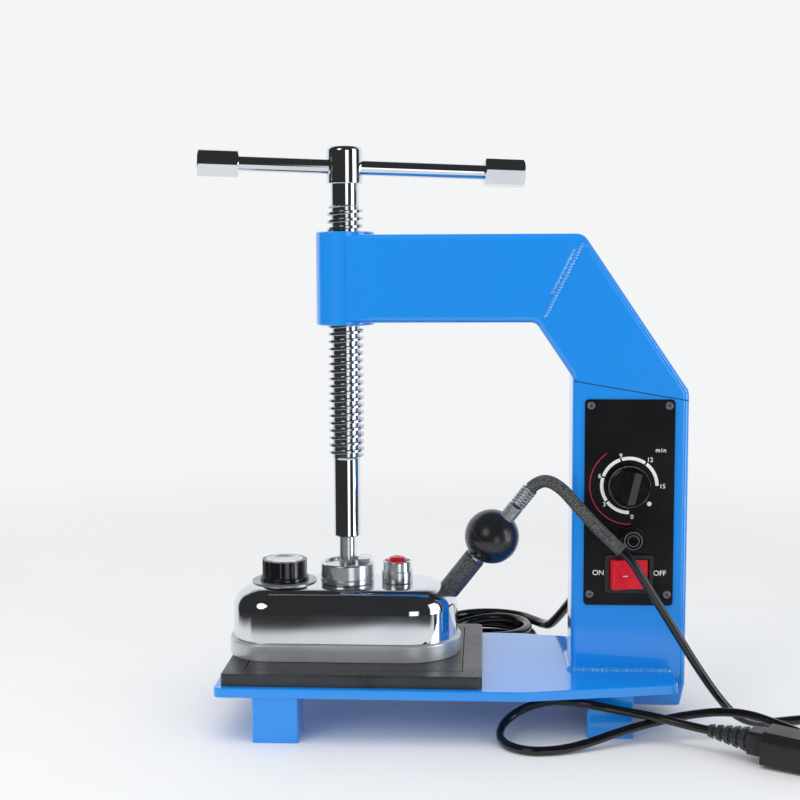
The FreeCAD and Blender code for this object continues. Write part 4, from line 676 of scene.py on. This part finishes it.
    def reflected_room(self, tree: Tree, way: Socket) -> Socket:
        """Brightness that polished metal mirrors: dark studio, white table, backdrop, strips and spot.

        Args:
            tree: The world's node tree.
            way: The ray's direction.

        Returns:
            The brightness socket.
        """
        parts = add_node(tree, "SeparateXYZ", links={0: way}).outputs
        table = self.ramp(tree, parts["Z"], self.table_ramp, (self.table_level, 0.0))
        backdrop = self.combine(tree, "MULTIPLY", self.ramp(tree, parts["Y"], self.backdrop_ramp),
                                self.ramp(tree, parts["Z"], self.backdrop_top, (1.0, 0.0)))
        ahead = add_node(tree, "Math", {1: -1.0}, {0: parts["Y"]}, operation="MULTIPLY").outputs[0]
        azimuth = self.combine(tree, "ARCTAN2", parts["X"], ahead)
        strips = [self.combine(tree, "MULTIPLY", self.ramp(tree, azimuth, strip.rise, (0.0, strip.level)),
                               self.ramp(tree, azimuth, strip.fall, (1.0, 0.0)),
                               self.ramp(tree, parts["Z"], self.strip_foot),
                               self.ramp(tree, parts["Z"], strip.top, (1.0, 0.0))) for strip in self.strips]
        near_spot = add_node(tree, "VectorMath", {1: self.spot_way}, {0: way}, operation="DOT_PRODUCT")
        spot = self.ramp(tree, near_spot.outputs["Value"], self.spot_ramp, (0.0, self.spot_level))
        level = self.combine(tree, "MAXIMUM", table, backdrop, spot, *strips)
        return add_node(tree, "Math", {1: self.dark_room}, {0: level}, operation="MAXIMUM").outputs[0]

    def world(self) -> None:
        """Even light for matte surfaces, a real room for mirrors, and plain white for the camera."""
        world = bpy.data.worlds.new("studio_room")
        bpy.context.scene.world = world
        tree = cleared_tree(world)
        way = add_node(tree, "TexCoord").outputs["Generated"]
        room = add_node(tree, "Background", {"Color": linear("#F5F8FC")},
                        {"Strength": self.reflected_room(tree, way)})
        even = add_node(tree, "Background", {"Color": linear("#F6F9FD"), "Strength": self.even_light})
        plain = add_node(tree, "Background", {"Color": linear(self.white), "Strength": 1.0})
        rays, shown = add_node(tree, "LightPath").outputs, even
        for ray, background in (("Is Glossy Ray", room), ("Is Camera Ray", plain)):
            shown = add_node(tree, "MixShader",
                             links={0: rays[ray], 1: shown.outputs[0], 2: background.outputs[0]})
        add_node(tree, "OutputWorld", links={"Surface": shown.outputs[0]})

    def lamp(self, box: Softbox) -> None:
        """Soft rectangular lamp, kept out of the mirrors."""
        data = bpy.data.lights.new(box.name, "AREA")
        data.shape = "RECTANGLE"
        data.size, data.size_y = box.size
        data.energy = box.watts
        lamp, start = placed(box.name, data), at(*box.place)
        turn = (at(*box.target) - start).to_track_quat("-Z", "Y").to_matrix().to_4x4()
        lamp.matrix_world = Matrix.Translation(start) @ turn
        lamp.visible_glossy = False

    def build(self) -> None:
        """Sets the view transform and makes the whole studio."""
        bpy.context.scene.view_settings.view_transform = "Standard"
        self.camera()
        self.floor()
        self.world()
        for box in self.softboxes:
            self.lamp(box)
        log.info("studio ready")


@dataclass
class Cords:
    """Mains lead with its put-away coil, and the head's lead with its sleeve."""
    mains_radius: float = 3.5
    lead_radius: float = 2.8
    sleeve_radius: float = 4.25
    coil_centre: Pair = (95.0, 124.0)
    coil_turn_deg: float = 25.0
    coil_inner: float = 31.2
    coil_step: float = 9.4
    coil_layer: float = 8.0
    coil_layers: int = 4
    coil_low: float = 3.7
    coil_entry: float = 14.0
    coil_exit: float = 16.0
    points_per_half_turn: int = 8
    braid_strands: int = 14
    braid_step: float = 0.45
    braid_lay: float = 3.6
    braid_relief: float = 0.3
    neck_half: float = 8.5
    body_half: float = 13.5
    grip_start: float = 29.4
    grip_pitch: float = 1.5
    grip_ridges: int = 6
    grip_half: Pair = (1.6, 5.6)
    grip_radius: float = 0.42
    gate_place: Pair = (50.0, 0.5)
    gate_ring: Pair = (1.1, 0.25)
    parting_span: Pair = (38.0, 70.0)
    parting_height: float = -6.0
    parting_radius: float = 0.22
    rib_count: int = 6
    rib_start: float = 1.6
    rib_pitch: float = 2.3
    rib_rise: float = 1.25
    rib_taper: float = 0.118
    rib_wire: float = 0.6
    mains_route: list[Point] = field(default_factory=lambda: [
        (163.0, 48.0, 72.5), (163.0, 57.0, 72.5), (161.5, 69.5, 67.5), (156.5, 83.5, 56.5),
        (150.0, 98.0, 43.5), (143.5, 112.5, 31.8)])
    tail_route: list[Point] = field(default_factory=lambda: [
        (6.0, 131.0, 13.2), (14.0, 131.0, 13.2), (27.0, 133.5, 9.6), (42.0, 140.5, 4.4)])
    sleeve_route: list[Point] = field(default_factory=lambda: [
        (124.07, -22.32, 159.37), (127.8, -23.9, 163.0), (134.8, -27.9, 165.4), (144.0, -33.2, 160.6),
        (153.6, -38.4, 150.0), (167.0, -43.0, 135.5), (181.5, -46.0, 122.5)])
    lead_route: list[Point] = field(default_factory=lambda: [
        (181.72, -46.05, 122.3), (187.4, -47.2, 117.2), (195.0, -48.0, 104.8), (205.3, -47.7, 88.0),
        (217.5, -46.0, 68.5), (230.0, -44.0, 48.0), (243.0, -40.5, 28.5), (257.0, -35.5, 11.0),
        (273.5, -28.5, 3.4), (294.0, -19.0, 3.0), (315.0, -13.5, 3.0), (336.0, -19.0, 3.0),
        (348.0, -37.0, 3.0), (342.5, -57.0, 3.0), (323.0, -65.0, 3.6), (303.0, -63.0, 6.0),
        (284.0, -57.0, 12.0), (264.0, -50.5, 17.5), (245.5, -48.5, 18.0), (228.0, -50.0, 16.5),
        (210.0, -54.0, 14.0), (193.0, -60.0, 11.5), (176.5, -67.0, 8.5), (158.5, -76.0, 4.8),
        (139.5, -84.5, 3.0), (119.5, -87.0, 3.0), (104.5, -73.0, 3.0), (103.0, -53.0, 6.5),
        (115.5, -38.5, 13.5), (133.0, -41.5, 21.0), (148.5, -54.5, 25.2), (164.5, -60.0, 24.5),
        (180.0, -58.8, 21.0), (195.0, -58.5, 18.5), (209.5, -61.0, 16.3), (223.0, -67.0, 14.4),
        (235.0, -73.5, 13.8)])

    def coil_points(self) -> list[Point]:
        """The coil's turns from its foot to its head, spiralling in and out as the layers climb."""
        inner, outer = self.coil_inner, self.coil_inner + self.coil_step
        stations = []
        for layer in range(self.coil_layers):
            reaches = [outer, (outer + inner) / 2, inner]
            if layer % 2:
                reaches.reverse()
            stations += [(reach, self.coil_low + layer * self.coil_layer) for reach in reaches]
        turn, steps = math.radians(self.coil_turn_deg), self.points_per_half_turn
        middle = Vector((*self.coil_centre, 0))
        across = Vector((math.cos(turn), math.sin(turn), 0))
        ahead = Vector((-math.sin(turn), math.cos(turn), 0))
        swell = 1 / math.cos(math.pi / steps / 2)
        points, side = [], -1
        for i, ((near, low), (far, high)) in enumerate(zip(stations, stations[1:])):
            centre = middle + across * (side * (near - far) / 2)
            reach = (near + far) / 2 * swell
            for k in range(0 if i else steps // 2, steps):
                angle = math.pi * k / steps
                along, beside = side * reach * math.cos(angle), -side * reach * math.sin(angle)
                spot = centre + across * along + ahead * beside
                points.append((spot.x, spot.y, low + (high - low) * (0.5 - 0.5 * math.cos(angle))))
            side = -side
        reach, height = stations[-1]
        end = middle + across * (side * reach)
        points.append((end.x, end.y, height))
        return points

    def curve(self, name: str, route: list[Point], radius: float) -> bpy.types.Object:
        """Smooth round cord: a NURBS line of order 3 through its route.

        Args:
            name: The cord's name.
            route: Control points in millimetres.
            radius: Its radius in millimetres.

        Returns:
            The curve object.
        """
        data = bpy.data.curves.new(name, "CURVE")
        data.dimensions = "3D"
        data.resolution_u = 10
        spline = data.splines.new("NURBS")
        spline.points.add(len(route) - 1)
        for point, spot in zip(spline.points, route):
            point.co = (*at(*spot), 1.0)
        spline.order_u = 3
        spline.use_endpoint_u = True
        data.bevel_depth = radius * MM
        data.bevel_resolution = 5
        data.use_fill_caps = True
        return placed(name, data)

    def path_of(self, cord: bpy.types.Object) -> list[Vector]:
        """Middle line of a curve, read from the curve itself without its thickness."""
        bare = cord.data.copy()
        bare.bevel_depth = 0
        probe = placed("probe", bare)
        bpy.context.view_layer.update()
        mesh = bpy.data.meshes.new_from_object(probe)
        line = [v.co.copy() for v in mesh.vertices]
        bpy.data.objects.remove(probe)
        bpy.data.meshes.remove(mesh)
        return line

    def as_mesh(self, cord: bpy.types.Object) -> tuple[bpy.types.Object, list[Vector]]:
        """The cord as a mesh tube under the same name, and its middle line."""
        line, name = self.path_of(cord), cord.name
        mesh = bpy.data.meshes.new_from_object(cord)
        bpy.data.objects.remove(cord)
        mesh.shade_smooth()
        return placed(name, mesh), line

    def braided(self, line: list[Vector]) -> Geometry:
        """Braided sleeve along a line, its far end cut open about the cord.

        Args:
            line: Its middle line in metres.

        Returns:
            The shape.
        """
        spots, reach = [line[0]], 0.0
        step = self.braid_step * MM
        for before, after in zip(line, line[1:]):
            length = (after - before).length
            while reach + step <= length:
                reach += step
                spots.append(before.lerp(after, reach / length))
            reach -= length
        spots.append(line[-1])

        def woven(i: int, angle: float) -> float:
            """Radius of the braid at a point's number and an angle, in metres."""
            along = i * self.braid_step / self.braid_lay * 2 * math.pi
            phase = self.braid_strands * angle
            weave = math.sin(phase + along) * math.sin(phase - along)
            return (self.sleeve_radius - self.braid_relief * (0.5 - 0.5 * weave)) * MM

        outer, inner = self.sleeve_radius, self.lead_radius
        lip = [(outer - self.braid_relief / 2, 0.0), (outer - 0.35, 0.25), (inner + 0.35, 0.15),
               (inner + 0.25, -2.5), (inner - 0.02, -2.5), (inner - 0.02, 0.0), (0.0, 0.0)]
        end = lathe(lip, 48, spots[-1], (spots[-1] - spots[-2]).normalized())
        return open_tube(spots, 4 * self.braid_strands, woven).add(end)

    def connector_mouldings(self) -> bpy.types.Object:
        """Slanted grip ridges on the connector's neck, and the gate mark and parting line of its body."""
        start = at(*self.lead_route[-1])
        way = (start - at(*self.lead_route[-2])).normalized()
        side = way.cross(UP).normalized()
        rise = side.cross(way)

        def spot(along: float, out: float, up: float) -> Vector:
            """Point by distance along the lead, out from its axis and up, in millimetres."""
            return start + (way * along + side * out + rise * up) * MM

        shape, (slant, height) = Geometry(), self.grip_half
        for face in (-1, 1):
            neck, body = face * self.neck_half, face * self.body_half
            for k in range(self.grip_ridges):
                foot = self.grip_start + k * self.grip_pitch
                shape.add(closed_tube([spot(foot - slant, neck, height), spot(foot + slant, neck, -height)],
                                      [self.grip_radius * MM] * 2, 8))
            gate = spot(self.gate_place[0], body, self.gate_place[1])
            shape.add(hoop(*self.gate_ring, gate, side * face, 32))
            shape.add(closed_tube([spot(along, body, self.parting_height) for along in self.parting_span],
                                  [self.parting_radius * MM] * 2, 8))
        return piece("connector_mouldings", shape, RUBBER, "frame", 50)

    def plug_ribs(self) -> bpy.types.Object:
        """Rings of the mains plug's flexible neck."""
        ribs, way = Geometry(), Vector((-1, 0, 0))
        for k in range(self.rib_count):
            along = self.rib_start + self.rib_pitch * k
            ribs.add(hoop(self.mains_radius + self.rib_rise + self.rib_taper * along, self.rib_wire,
                          at(*self.tail_route[0]) + way * (along * MM), way, 64))
        return piece("plug_ribs", ribs, MOULDED_BLACK, "frame", 50)

    def build(self) -> None:
        coil = self.coil_points()[::-1]
        head, before, after, foot = (Vector(coil[i]) for i in (0, 1, -2, -1))
        entry = head + (head - before).normalized() * self.coil_entry
        leave = foot + (foot - after).normalized() * self.coil_exit
        route = [*self.mains_route, tuple(entry), *coil, tuple(leave), *reversed(self.tail_route)]
        mains = self.curve("mains_cord", route, self.mains_radius)
        dress(mains, CORD_JACKET)
        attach(mains, "frame")
        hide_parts("mains_lead", "mains_coil")
        self.plug_ribs()
        guide = self.curve("sleeve_guide", self.sleeve_route, self.sleeve_radius)
        sleeve_line = self.path_of(guide)
        bpy.data.objects.remove(guide)
        braid = self.braided(sleeve_line)
        sleeve = piece("handle_sleeve", braid, SLEEVE_BRAID, "press_head", 60, "lead_sleeve")
        lead, line = self.as_mesh(self.curve("head_cord", self.lead_route, self.lead_radius))
        dress(lead, CORD_JACKET)
        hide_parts("head_lead")
        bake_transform(lead)
        self.connector_mouldings()
        log.info("cords laid")


@dataclass
class LeadScrew:
    """Lead screw with its rolled trapezoidal thread, spindle and neck."""
    pitch: float = 5.0
    crest_radius: float = 11.9
    core_radius: float = 9.35
    crest_width: float = 1.5
    flank: float = 0.55
    thread_low: float = 176.0
    thread_high: float = 345.7
    spindle_radius: float = 9.2
    spindle_low: float = 122.3
    neck_radius: float = 9.5
    neck_high: float = 363.0
    hand_start: float = 260.7
    tip_radius: float = 5.52
    scribe_height: float = 115.2
    scribe_wire: float = 0.14
    crest_round: float = 0.35
    end_run: float = 1.2
    chamfer: float = 0.8
    core_step: float = 0.1
    steps: int = 72

    def thread(self) -> Geometry:
        """Helical ribbon of groove, flank, crest and flank; each turn meets the next."""
        flank, crest, core = self.flank, self.crest_radius, self.core_radius
        groove = self.pitch - self.crest_width - 2 * flank
        shoulder = crest - self.crest_round
        # The crest's edges are rolled over, so each flank is steep below the shoulder and eased above it.
        profile = [(0.0, core), (groove, core), (groove + flank * 0.8, shoulder),
                   (groove + flank * 1.1, crest), (groove + flank * 0.9 + self.crest_width, crest),
                   (groove + flank * 1.2 + self.crest_width, shoulder), (self.pitch, core)]
        crest_middle = groove + flank + self.crest_width / 2
        start = self.hand_start - crest_middle
        while start > self.thread_low - self.pitch:
            start -= self.pitch
        count = int((self.thread_high - start) / self.pitch * self.steps) + 1
        points, faces = [], []
        for i in range(count):
            angle = 2 * math.pi * i / self.steps - math.pi / 2
            rise = start + self.pitch * i / self.steps
            for offset, radius in profile:
                height = min(max(rise + offset, self.thread_low), self.thread_high)
                room = min(height - self.thread_low, self.thread_high - height) / self.end_run
                reach = core + (radius - core) * min(1.0, max(0.0, room))
                points.append(at(reach * math.cos(angle), reach * math.sin(angle), height))
        row = len(profile)
        for i in range(count - 1):
            for j in range(row - 1):
                faces.append((i * row + j, (i + 1) * row + j, (i + 1) * row + j + 1, i * row + j + 1))
        return Geometry(points, faces)

    def build(self) -> None:
        """Makes the threaded screw in place of its plain solid."""
        piece("screw_thread", self.thread(), CHROME_THREAD, "screw", 24, "lead_screw")
        bottom, top, low, high = self.spindle_low, self.neck_high, self.thread_low, self.thread_high
        spindle, neck, core = self.spindle_radius, self.neck_radius, self.spindle_radius + self.core_step
        outline = [(0, bottom), (spindle - self.chamfer, bottom), (spindle, bottom + self.chamfer),
                   (spindle, low - self.end_run), (spindle, low - self.end_run / 2), (core, low),
                   (core, high), (neck, high), (neck, top), (0, top)]
        piece("screw_core", lathe(outline, 64, at(0, 0, 0)), CHROME, "screw", 30, "lead_screw")
        # Painted shade: a dark hairline ring stands for the shade in the tip rod's depth groove.
        scribe = hoop(self.tip_radius, self.scribe_wire, at(0, 0, self.scribe_height), UP, 64)
        piece("tip_rod_scribe", scribe, SCRIBE_GROOVE_SHADE, "screw", 60)


@dataclass
class FrameWelds:
    """Weld beads of the frame under the enamel, and a dark line below the elbow painted as the shade in the
    seam's groove.

    An elbow bead has its upper and lower end, X and Z, then its radius, ripple and pitch. Each wander of a
    bead's radius has its size, its rate per millimetre and its phase.
    """
    half: float = 21.0
    foot_out: float = 21.3
    foot_span: Pair = (152.0, 217.5)
    foot_left: float = 150.7
    foot_height: float = 36.2
    foot_radius: float = 2.2
    elbow_out: float = 20.25
    elbow_beads: tuple[tuple[str, Pair, Pair, float, float, float], ...] = (
        ("elbow_", (157.0, 320.5), (131.9, 270.8), 1.75, 0.34, 2.1),
        ("elbow_wash_", (151.8, 317.0), (136.0, 285.6), 1.6, 0.4, 3.4))
    wander: tuple[Point, ...] = ((0.05, 0.31, 0.0), (0.04, 0.83, 1.0))
    steps_per_ripple: int = 6
    fade_length: float = 2.0
    end_share: float = 0.35
    seam_ends: tuple[Pair, Pair] = ((151.6, 229.9), (226.4, 217.1))
    seam_radius: float = 0.26
    seam_points: int = 25

    def bead(self, name: str, ends: tuple[Point, Point], radius: float, ripple: float = 0.16,
             pitch: float = 3.2) -> None:
        """Rippled weld bead along a straight seam.

        Args:
            name: What follows "weld_" in the piece's name.
            ends: Its two ends, in millimetres.
            radius: Its radius.
            ripple: Share of the radius that the ripples take.
            pitch: Distance between ripples.
        """
        begin, end = (at(*spot) for spot in ends)
        length = (end - begin).length / MM
        steps = max(8, int(length / pitch * self.steps_per_ripple))
        line, radii = [], []
        for i in range(steps + 1):
            share = i / steps
            wave = abs(math.sin(math.pi * share * length / pitch))
            wander = sum(size * math.sin(share * length * rate + phase) for size, rate, phase in self.wander)
            end_fade = min(1.0, min(share, 1 - share) * length / self.fade_length + self.end_share)
            line.append(begin.lerp(end, share))
            radii.append(radius * MM * (1 - ripple + ripple * wave + wander) * end_fade)
        # The bead's lighter enamel is a painted highlight along the weld.
        piece("weld_" + name, closed_tube(line, radii, 12), WELD_ENAMEL, "frame", 60)

    def build(self) -> None:
        """Beads at the column's foot and the arm's mitre, and the painted shade line of the seam."""
        sides, foot = ((-1, "front"), (1, "back")), self.foot_height
        for side, name in sides:
            left, right = ((x, side * self.foot_out, foot) for x in self.foot_span)
            self.bead("column_" + name, (left, right), self.foot_radius)
        near, far = ((self.foot_left, y, foot) for y in (-self.half, self.half))
        self.bead("column_left", (near, far), self.foot_radius)
        seam, count = Geometry(), self.seam_points
        for side, name in sides:
            for kind, high, low, *section in self.elbow_beads:
                upper, lower = ((x, side * self.elbow_out, z) for x, z in (high, low))
                self.bead(kind + name, (upper, lower), *section)
            start, end = (at(x, side * self.half, z) for x, z in self.seam_ends)
            line = [start.lerp(end, k / (count - 1)) for k in range(count)]
            seam.add(closed_tube(line, [self.seam_radius * MM] * count, 8))
        # Painted shade: the dark line stands for the shade in the seam's groove.
        piece("column_seam", seam, SEAM_GROOVE_SHADE, "frame", 60)


@dataclass
class PanelFace:
    """Everything that is printed on the panel or dressed over its fittings.

    Places are X and Z, profiles are radius and height, and the bar's sections are half width and height.
    """
    face: float = -22.2
    ink: float = 0.05
    ink_spread: float = 0.006
    dial: Pair = (188.3, 161.2)
    arc_radii: Pair = (16.9, 19.1)
    arc_parts: int = 5
    arc_step_deg: float = 54.0
    arc_gap_deg: float = 1.8
    red_radii: Pair = (25.5, 26.1)
    red_span_deg: Pair = (125.0, 273.0)
    numbers: dict[str, Pair] = field(default_factory=lambda: {
        "0": (190.3, 140.2), "3": (172.1, 148.5), "6": (168.9, 167.3), "9": (182.6, 180.8),
        "12": (201.6, 178.2), "15": (209.9, 160.7), "min": (208.6, 184.6)})
    number_height: float = 2.9
    unit_spacing: float = 1.22
    switch_words: dict[str, Pair] = field(default_factory=lambda: {
        "ON": (168.6, 102.6), "OFF": (208.9, 102.6)})
    word_height: float = 3.4
    dot_place: Pair = (201.5, 149.0)
    dot_radius: float = 1.5
    screw_places: tuple[Pair, ...] = ((162.9, 88.5), (213.7, 88.5), (162.9, 214.0), (213.7, 214.0))
    screw_face: float = -23.6
    recess_half: Pair = (1.35, 0.3)
    recess_turns_deg: tuple[float, ...] = (25.0, 62.0, 99.0, 136.0)
    knob_centre: Pair = (187.9, 161.3)
    knob_back: float = -24.7
    knob_tilt_deg: float = 13.0
    knob_profile: tuple[Pair, ...] = ((3.1, 0.0), (13.5, 0.0), (13.8, 0.5), (13.5, 7.3), (13.1, 8.1),
                                      (12.5, 8.3), (12.1, 7.9), (11.9, 7.2), (0.0, 7.2))
    bar_sections: tuple[Pair, ...] = ((5.9, 7.1), (5.5, 8.7), (0.5, 11.9))
    bar_reach: float = 12.0
    bar_draft: float = 0.22
    cap_centre: Pair = (190.6, 125.8)
    cap_face: float = -31.0
    cap_rings: tuple[tuple[float, float, int], ...] = ((5.7, 0.35, 64), (3.6, 0.3, 48))
    mark_ends: tuple[Pair, Pair] = ((184.6, 101.4), (187.6, 101.4))
    mark_half: float = 0.22
    mark_lifts: Pair = (-0.05, 0.1)

    def word(self, text: str, x: float, z: float, height: float, spacing: float = 1.0) -> Geometry:
        """Printed word.

        Args:
            text: The letters.
            x: Its middle, in millimetres.
            z: Its middle height.
            height: Height of its capitals.
            spacing: Share of the usual room that each letter takes.

        Returns:
            The shape.
        """
        data = bpy.data.curves.new("word", "FONT")
        data.body = text
        data.size = height / 0.7
        data.align_x, data.align_y = "CENTER", "CENTER"
        data.extrude = self.ink / 2
        data.offset = height * self.ink_spread
        data.space_character = spacing
        letters = placed("word", data)
        bpy.context.view_layer.update()
        mesh = bpy.data.meshes.new_from_object(letters)
        points = [at(x + v.co.x, self.face - self.ink / 2 - v.co.z, z + v.co.y) for v in mesh.vertices]
        faces = [tuple(face.vertices) for face in mesh.polygons]
        bpy.data.objects.remove(letters)
        return Geometry(points, faces)

    def band(self, radii: Pair, start_deg: float, end_deg: float) -> Geometry:
        """Part of a printed ring about the dial's centre.

        Args:
            radii: Inner and outer radius in millimetres.
            start_deg: Angle from the right, counter-clockwise, where it starts.
            end_deg: Angle where it ends.

        Returns:
            The shape.
        """
        steps = max(4, int(abs(end_deg - start_deg) / 3))
        angles = [math.radians(start_deg + (end_deg - start_deg) * k / steps) for k in range(steps + 1)]
        (x, z), (inner, outer) = self.dial, radii
        outline = [(x + reach * math.cos(a), z + reach * math.sin(a))
                   for reach, part in ((outer, angles), (inner, angles[::-1])) for a in part]
        return sheet(outline, self.face - self.ink, self.face)

    def prints(self) -> None:
        """White scale, numbers and words, and the red arc."""
        white, gap = Geometry(), self.arc_gap_deg
        for k in range(self.arc_parts):
            start = 270 - self.arc_step_deg * k
            end = start - self.arc_step_deg
            last = k == self.arc_parts - 1
            white.add(self.band(self.arc_radii, start - (gap if k else 0), end + (0 if last else gap)))
        for text, (x, z) in self.numbers.items():
            white.add(self.word(text, x, z, self.number_height, self.unit_spacing if text == "min" else 1.0))
        for text, (x, z) in self.switch_words.items():
            white.add(self.word(text, x, z, self.word_height))
        (x, z), radius = self.dot_place, self.dot_radius
        dot = [(x + radius * math.cos(math.radians(a)), z + radius * math.sin(math.radians(a)))
               for a in range(0, 360, 15)]
        white.add(sheet(dot, self.face - self.ink, self.face))
        piece("panel_print", white, WHITE_INK, "frame", 30)
        piece("panel_red_arc", self.band(self.red_radii, *self.red_span_deg), RED_INK, "frame", 30)

    def screw_recess_shade(self) -> None:
        """Cross recesses of the four panel screws, drawn as dark crosses laid on the heads: painted shade of
        recesses that are not cut.
        """
        crosses, (half, thin) = Geometry(), self.recess_half
        for (x, z), turn_deg in zip(self.screw_places, self.recess_turns_deg):
            for angle in (math.radians(turn_deg), math.radians(turn_deg) + math.pi / 2):
                c, s = math.cos(angle), math.sin(angle)
                corners = [(x + half * a * c - thin * b * s, z + half * a * s + thin * b * c)
                           for a, b in ((-1, -1), (1, -1), (1, 1), (-1, 1))]
                crosses.add(sheet(corners, self.screw_face - 0.04, self.screw_face + 0.3))
        # Painted shade: the black crosses stand for the shade inside the screws' cross recesses.
        piece("screw_recess_shade", crosses, MOULDED_BLACK, "frame", 30)

    def timer_knob(self) -> None:
        """Moulded pointer knob: a rimmed disc with a sloped bar across it."""
        x, z = self.knob_centre
        disc = lathe(self.knob_profile, 96, at(x, self.knob_back, z), FRONT)
        turn, foot = math.radians(-self.knob_tilt_deg), self.bar_sections[0][1]
        points = []
        for half, height in self.bar_sections:
            for side, end in ((-1, -1), (-1, 1), (1, -1), (1, 1)):
                reach = end * (math.sqrt(self.bar_reach ** 2 - half ** 2) - (height - foot) * self.bar_draft)
                u = side * half * math.cos(turn) - reach * math.sin(turn)
                v = side * half * math.sin(turn) + reach * math.cos(turn)
                points.append(at(x + u, self.knob_back - height, z + v))
        faces = [(8, 9, 11, 10)]
        for low in (0, 4):
            faces += [(low, low + 1, low + 5, low + 4), (low + 2, low + 6, low + 7, low + 3),
                      (low, low + 4, low + 6, low + 2), (low + 1, low + 3, low + 7, low + 5)]
        disc.add(Geometry(points, faces))
        piece("timer_pointer_knob", disc, KNOB_BLACK, "time_knob", 28, "timer_knob")

    def fuse_rings(self) -> None:
        """Raised rings on the face of the fuse cap, in light grey as a painted highlight on their edges."""
        rings, (x, z) = Geometry(), self.cap_centre
        for radius, wire, segments in self.cap_rings:
            rings.add(hoop(radius, wire, at(x, self.cap_face, z), FRONT, segments))
        # The rings' light grey is a painted highlight on their edges.
        piece("fuse_cap_rings", rings, FLASH_AND_RING_HIGHLIGHT, "fuse_cap", 60)

    def rocker_mark(self) -> None:
        """White bar printed on the rocker's long face, laid where rays from the front meet it."""
        node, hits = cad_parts["switch_rocker"], []
        there = node.matrix_world.inverted()
        for x, z in self.mark_ends:
            start, finish = there @ at(x, -100, z), there @ at(x, 0, z)
            _, place, _, _ = node.ray_cast(start, (finish - start).normalized())
            hits.append(node.matrix_world @ place)
        left, right = hits
        points = [place + Vector((0, lift, rise * self.mark_half)) * MM for lift in self.mark_lifts
                  for place, rise in ((left, -1), (right, -1), (right, 1), (left, 1))]
        faces = [(0, 1, 2, 3), (7, 6, 5, 4), (0, 4, 5, 1), (1, 5, 6, 2), (2, 6, 7, 3), (3, 7, 4, 0)]
        piece("rocker_mark", Geometry(points, faces), ROCKER_INK, "rocker", 30)

    def build(self) -> None:
        """Prints the panel and dresses its fittings."""
        self.prints()
        self.screw_recess_shade()
        self.timer_knob()
        self.fuse_rings()
        self.rocker_mark()


@dataclass
class Handle:
    """Fine turned and moulded forms along the head's leaning handle."""
    foot: Point = (67.4, 0.0, 82.8)
    rise_deg: float = 51.5
    turn_deg: float = 21.5
    ball_centre: float = 53.5
    ball_radius: float = 18.2
    ferrule_low: float = 69.44
    ferrule_high: float = 81.44
    ferrule_radius: float = 5.2
    ferrule_bore: float = 3.2
    ferrule_rings: int = 9
    ferrule_groove: float = 0.42
    ring_shares: tuple[float, ...] = (0.0, 0.28, 0.62, 0.9)
    flash_rise: float = 0.02
    flash_wire: float = 0.09
    lip_place: float = 36.0
    lip_radius: float = 6.3
    lip_wire: float = 0.5

    def way(self) -> Vector:
        """Unit vector up the handle."""
        rise, turn = math.radians(self.rise_deg), math.radians(self.turn_deg)
        return Vector((math.cos(rise) * math.cos(turn), -math.cos(rise) * math.sin(turn), math.sin(rise)))

    def along(self, distance: float) -> Vector:
        """Point on the handle's axis.

        Args:
            distance: Millimetres from its foot.

        Returns:
            The point in metres.
        """
        return at(*self.foot) + self.way() * (distance * MM)

    def build(self) -> None:
        """Parting line of the ball, lip of the collar and the ridged ferrule."""
        way = self.way()
        reach, middle = self.ball_radius + self.flash_rise, self.along(self.ball_centre)
        flash = hoop(reach, self.flash_wire, middle, way, 160)
        piece("ball_parting_line", flash, FLASH_AND_RING_HIGHLIGHT, "press_head", 60)
        lip = hoop(self.lip_radius, self.lip_wire, self.along(self.lip_place), way, 64)
        piece("collar_lip", lip, BRIGHT_STEEL, "press_head", 60)
        low, high, crest = self.ferrule_low, self.ferrule_high, self.ferrule_radius
        pitch, radii = (high - low) / self.ferrule_rings, (crest - self.ferrule_groove, crest)
        outline = [(self.ferrule_bore, low)]
        for k in range(self.ferrule_rings):
            outline += [(radii[i in (1, 2)], low + (k + share) * pitch)
                        for i, share in enumerate(self.ring_shares)]
        outline.append((self.ferrule_bore, high))
        ferrule = lathe(outline, 96, self.along(0), way)
        piece("ridged_ferrule", ferrule, DARK_STEEL, "press_head", 20, "handle_ferrule")


def node_finishes() -> None:
    """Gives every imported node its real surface."""
    for finish, names in NODE_FINISHES.items():
        for name in names:
            dress(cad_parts[name], finish)
    log.info("%d nodes dressed", len(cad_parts))


def main() -> None:
    """Builds the scene in order."""
    logging.basicConfig(level=logging.INFO, format="%(name)s: %(message)s")
    Studio().build()
    node_finishes()
    for assembly in (Cords(), LeadScrew(), FrameWelds(), PanelFace(), Handle()):
        assembly.build()


if __name__ == "__main__":
    main()
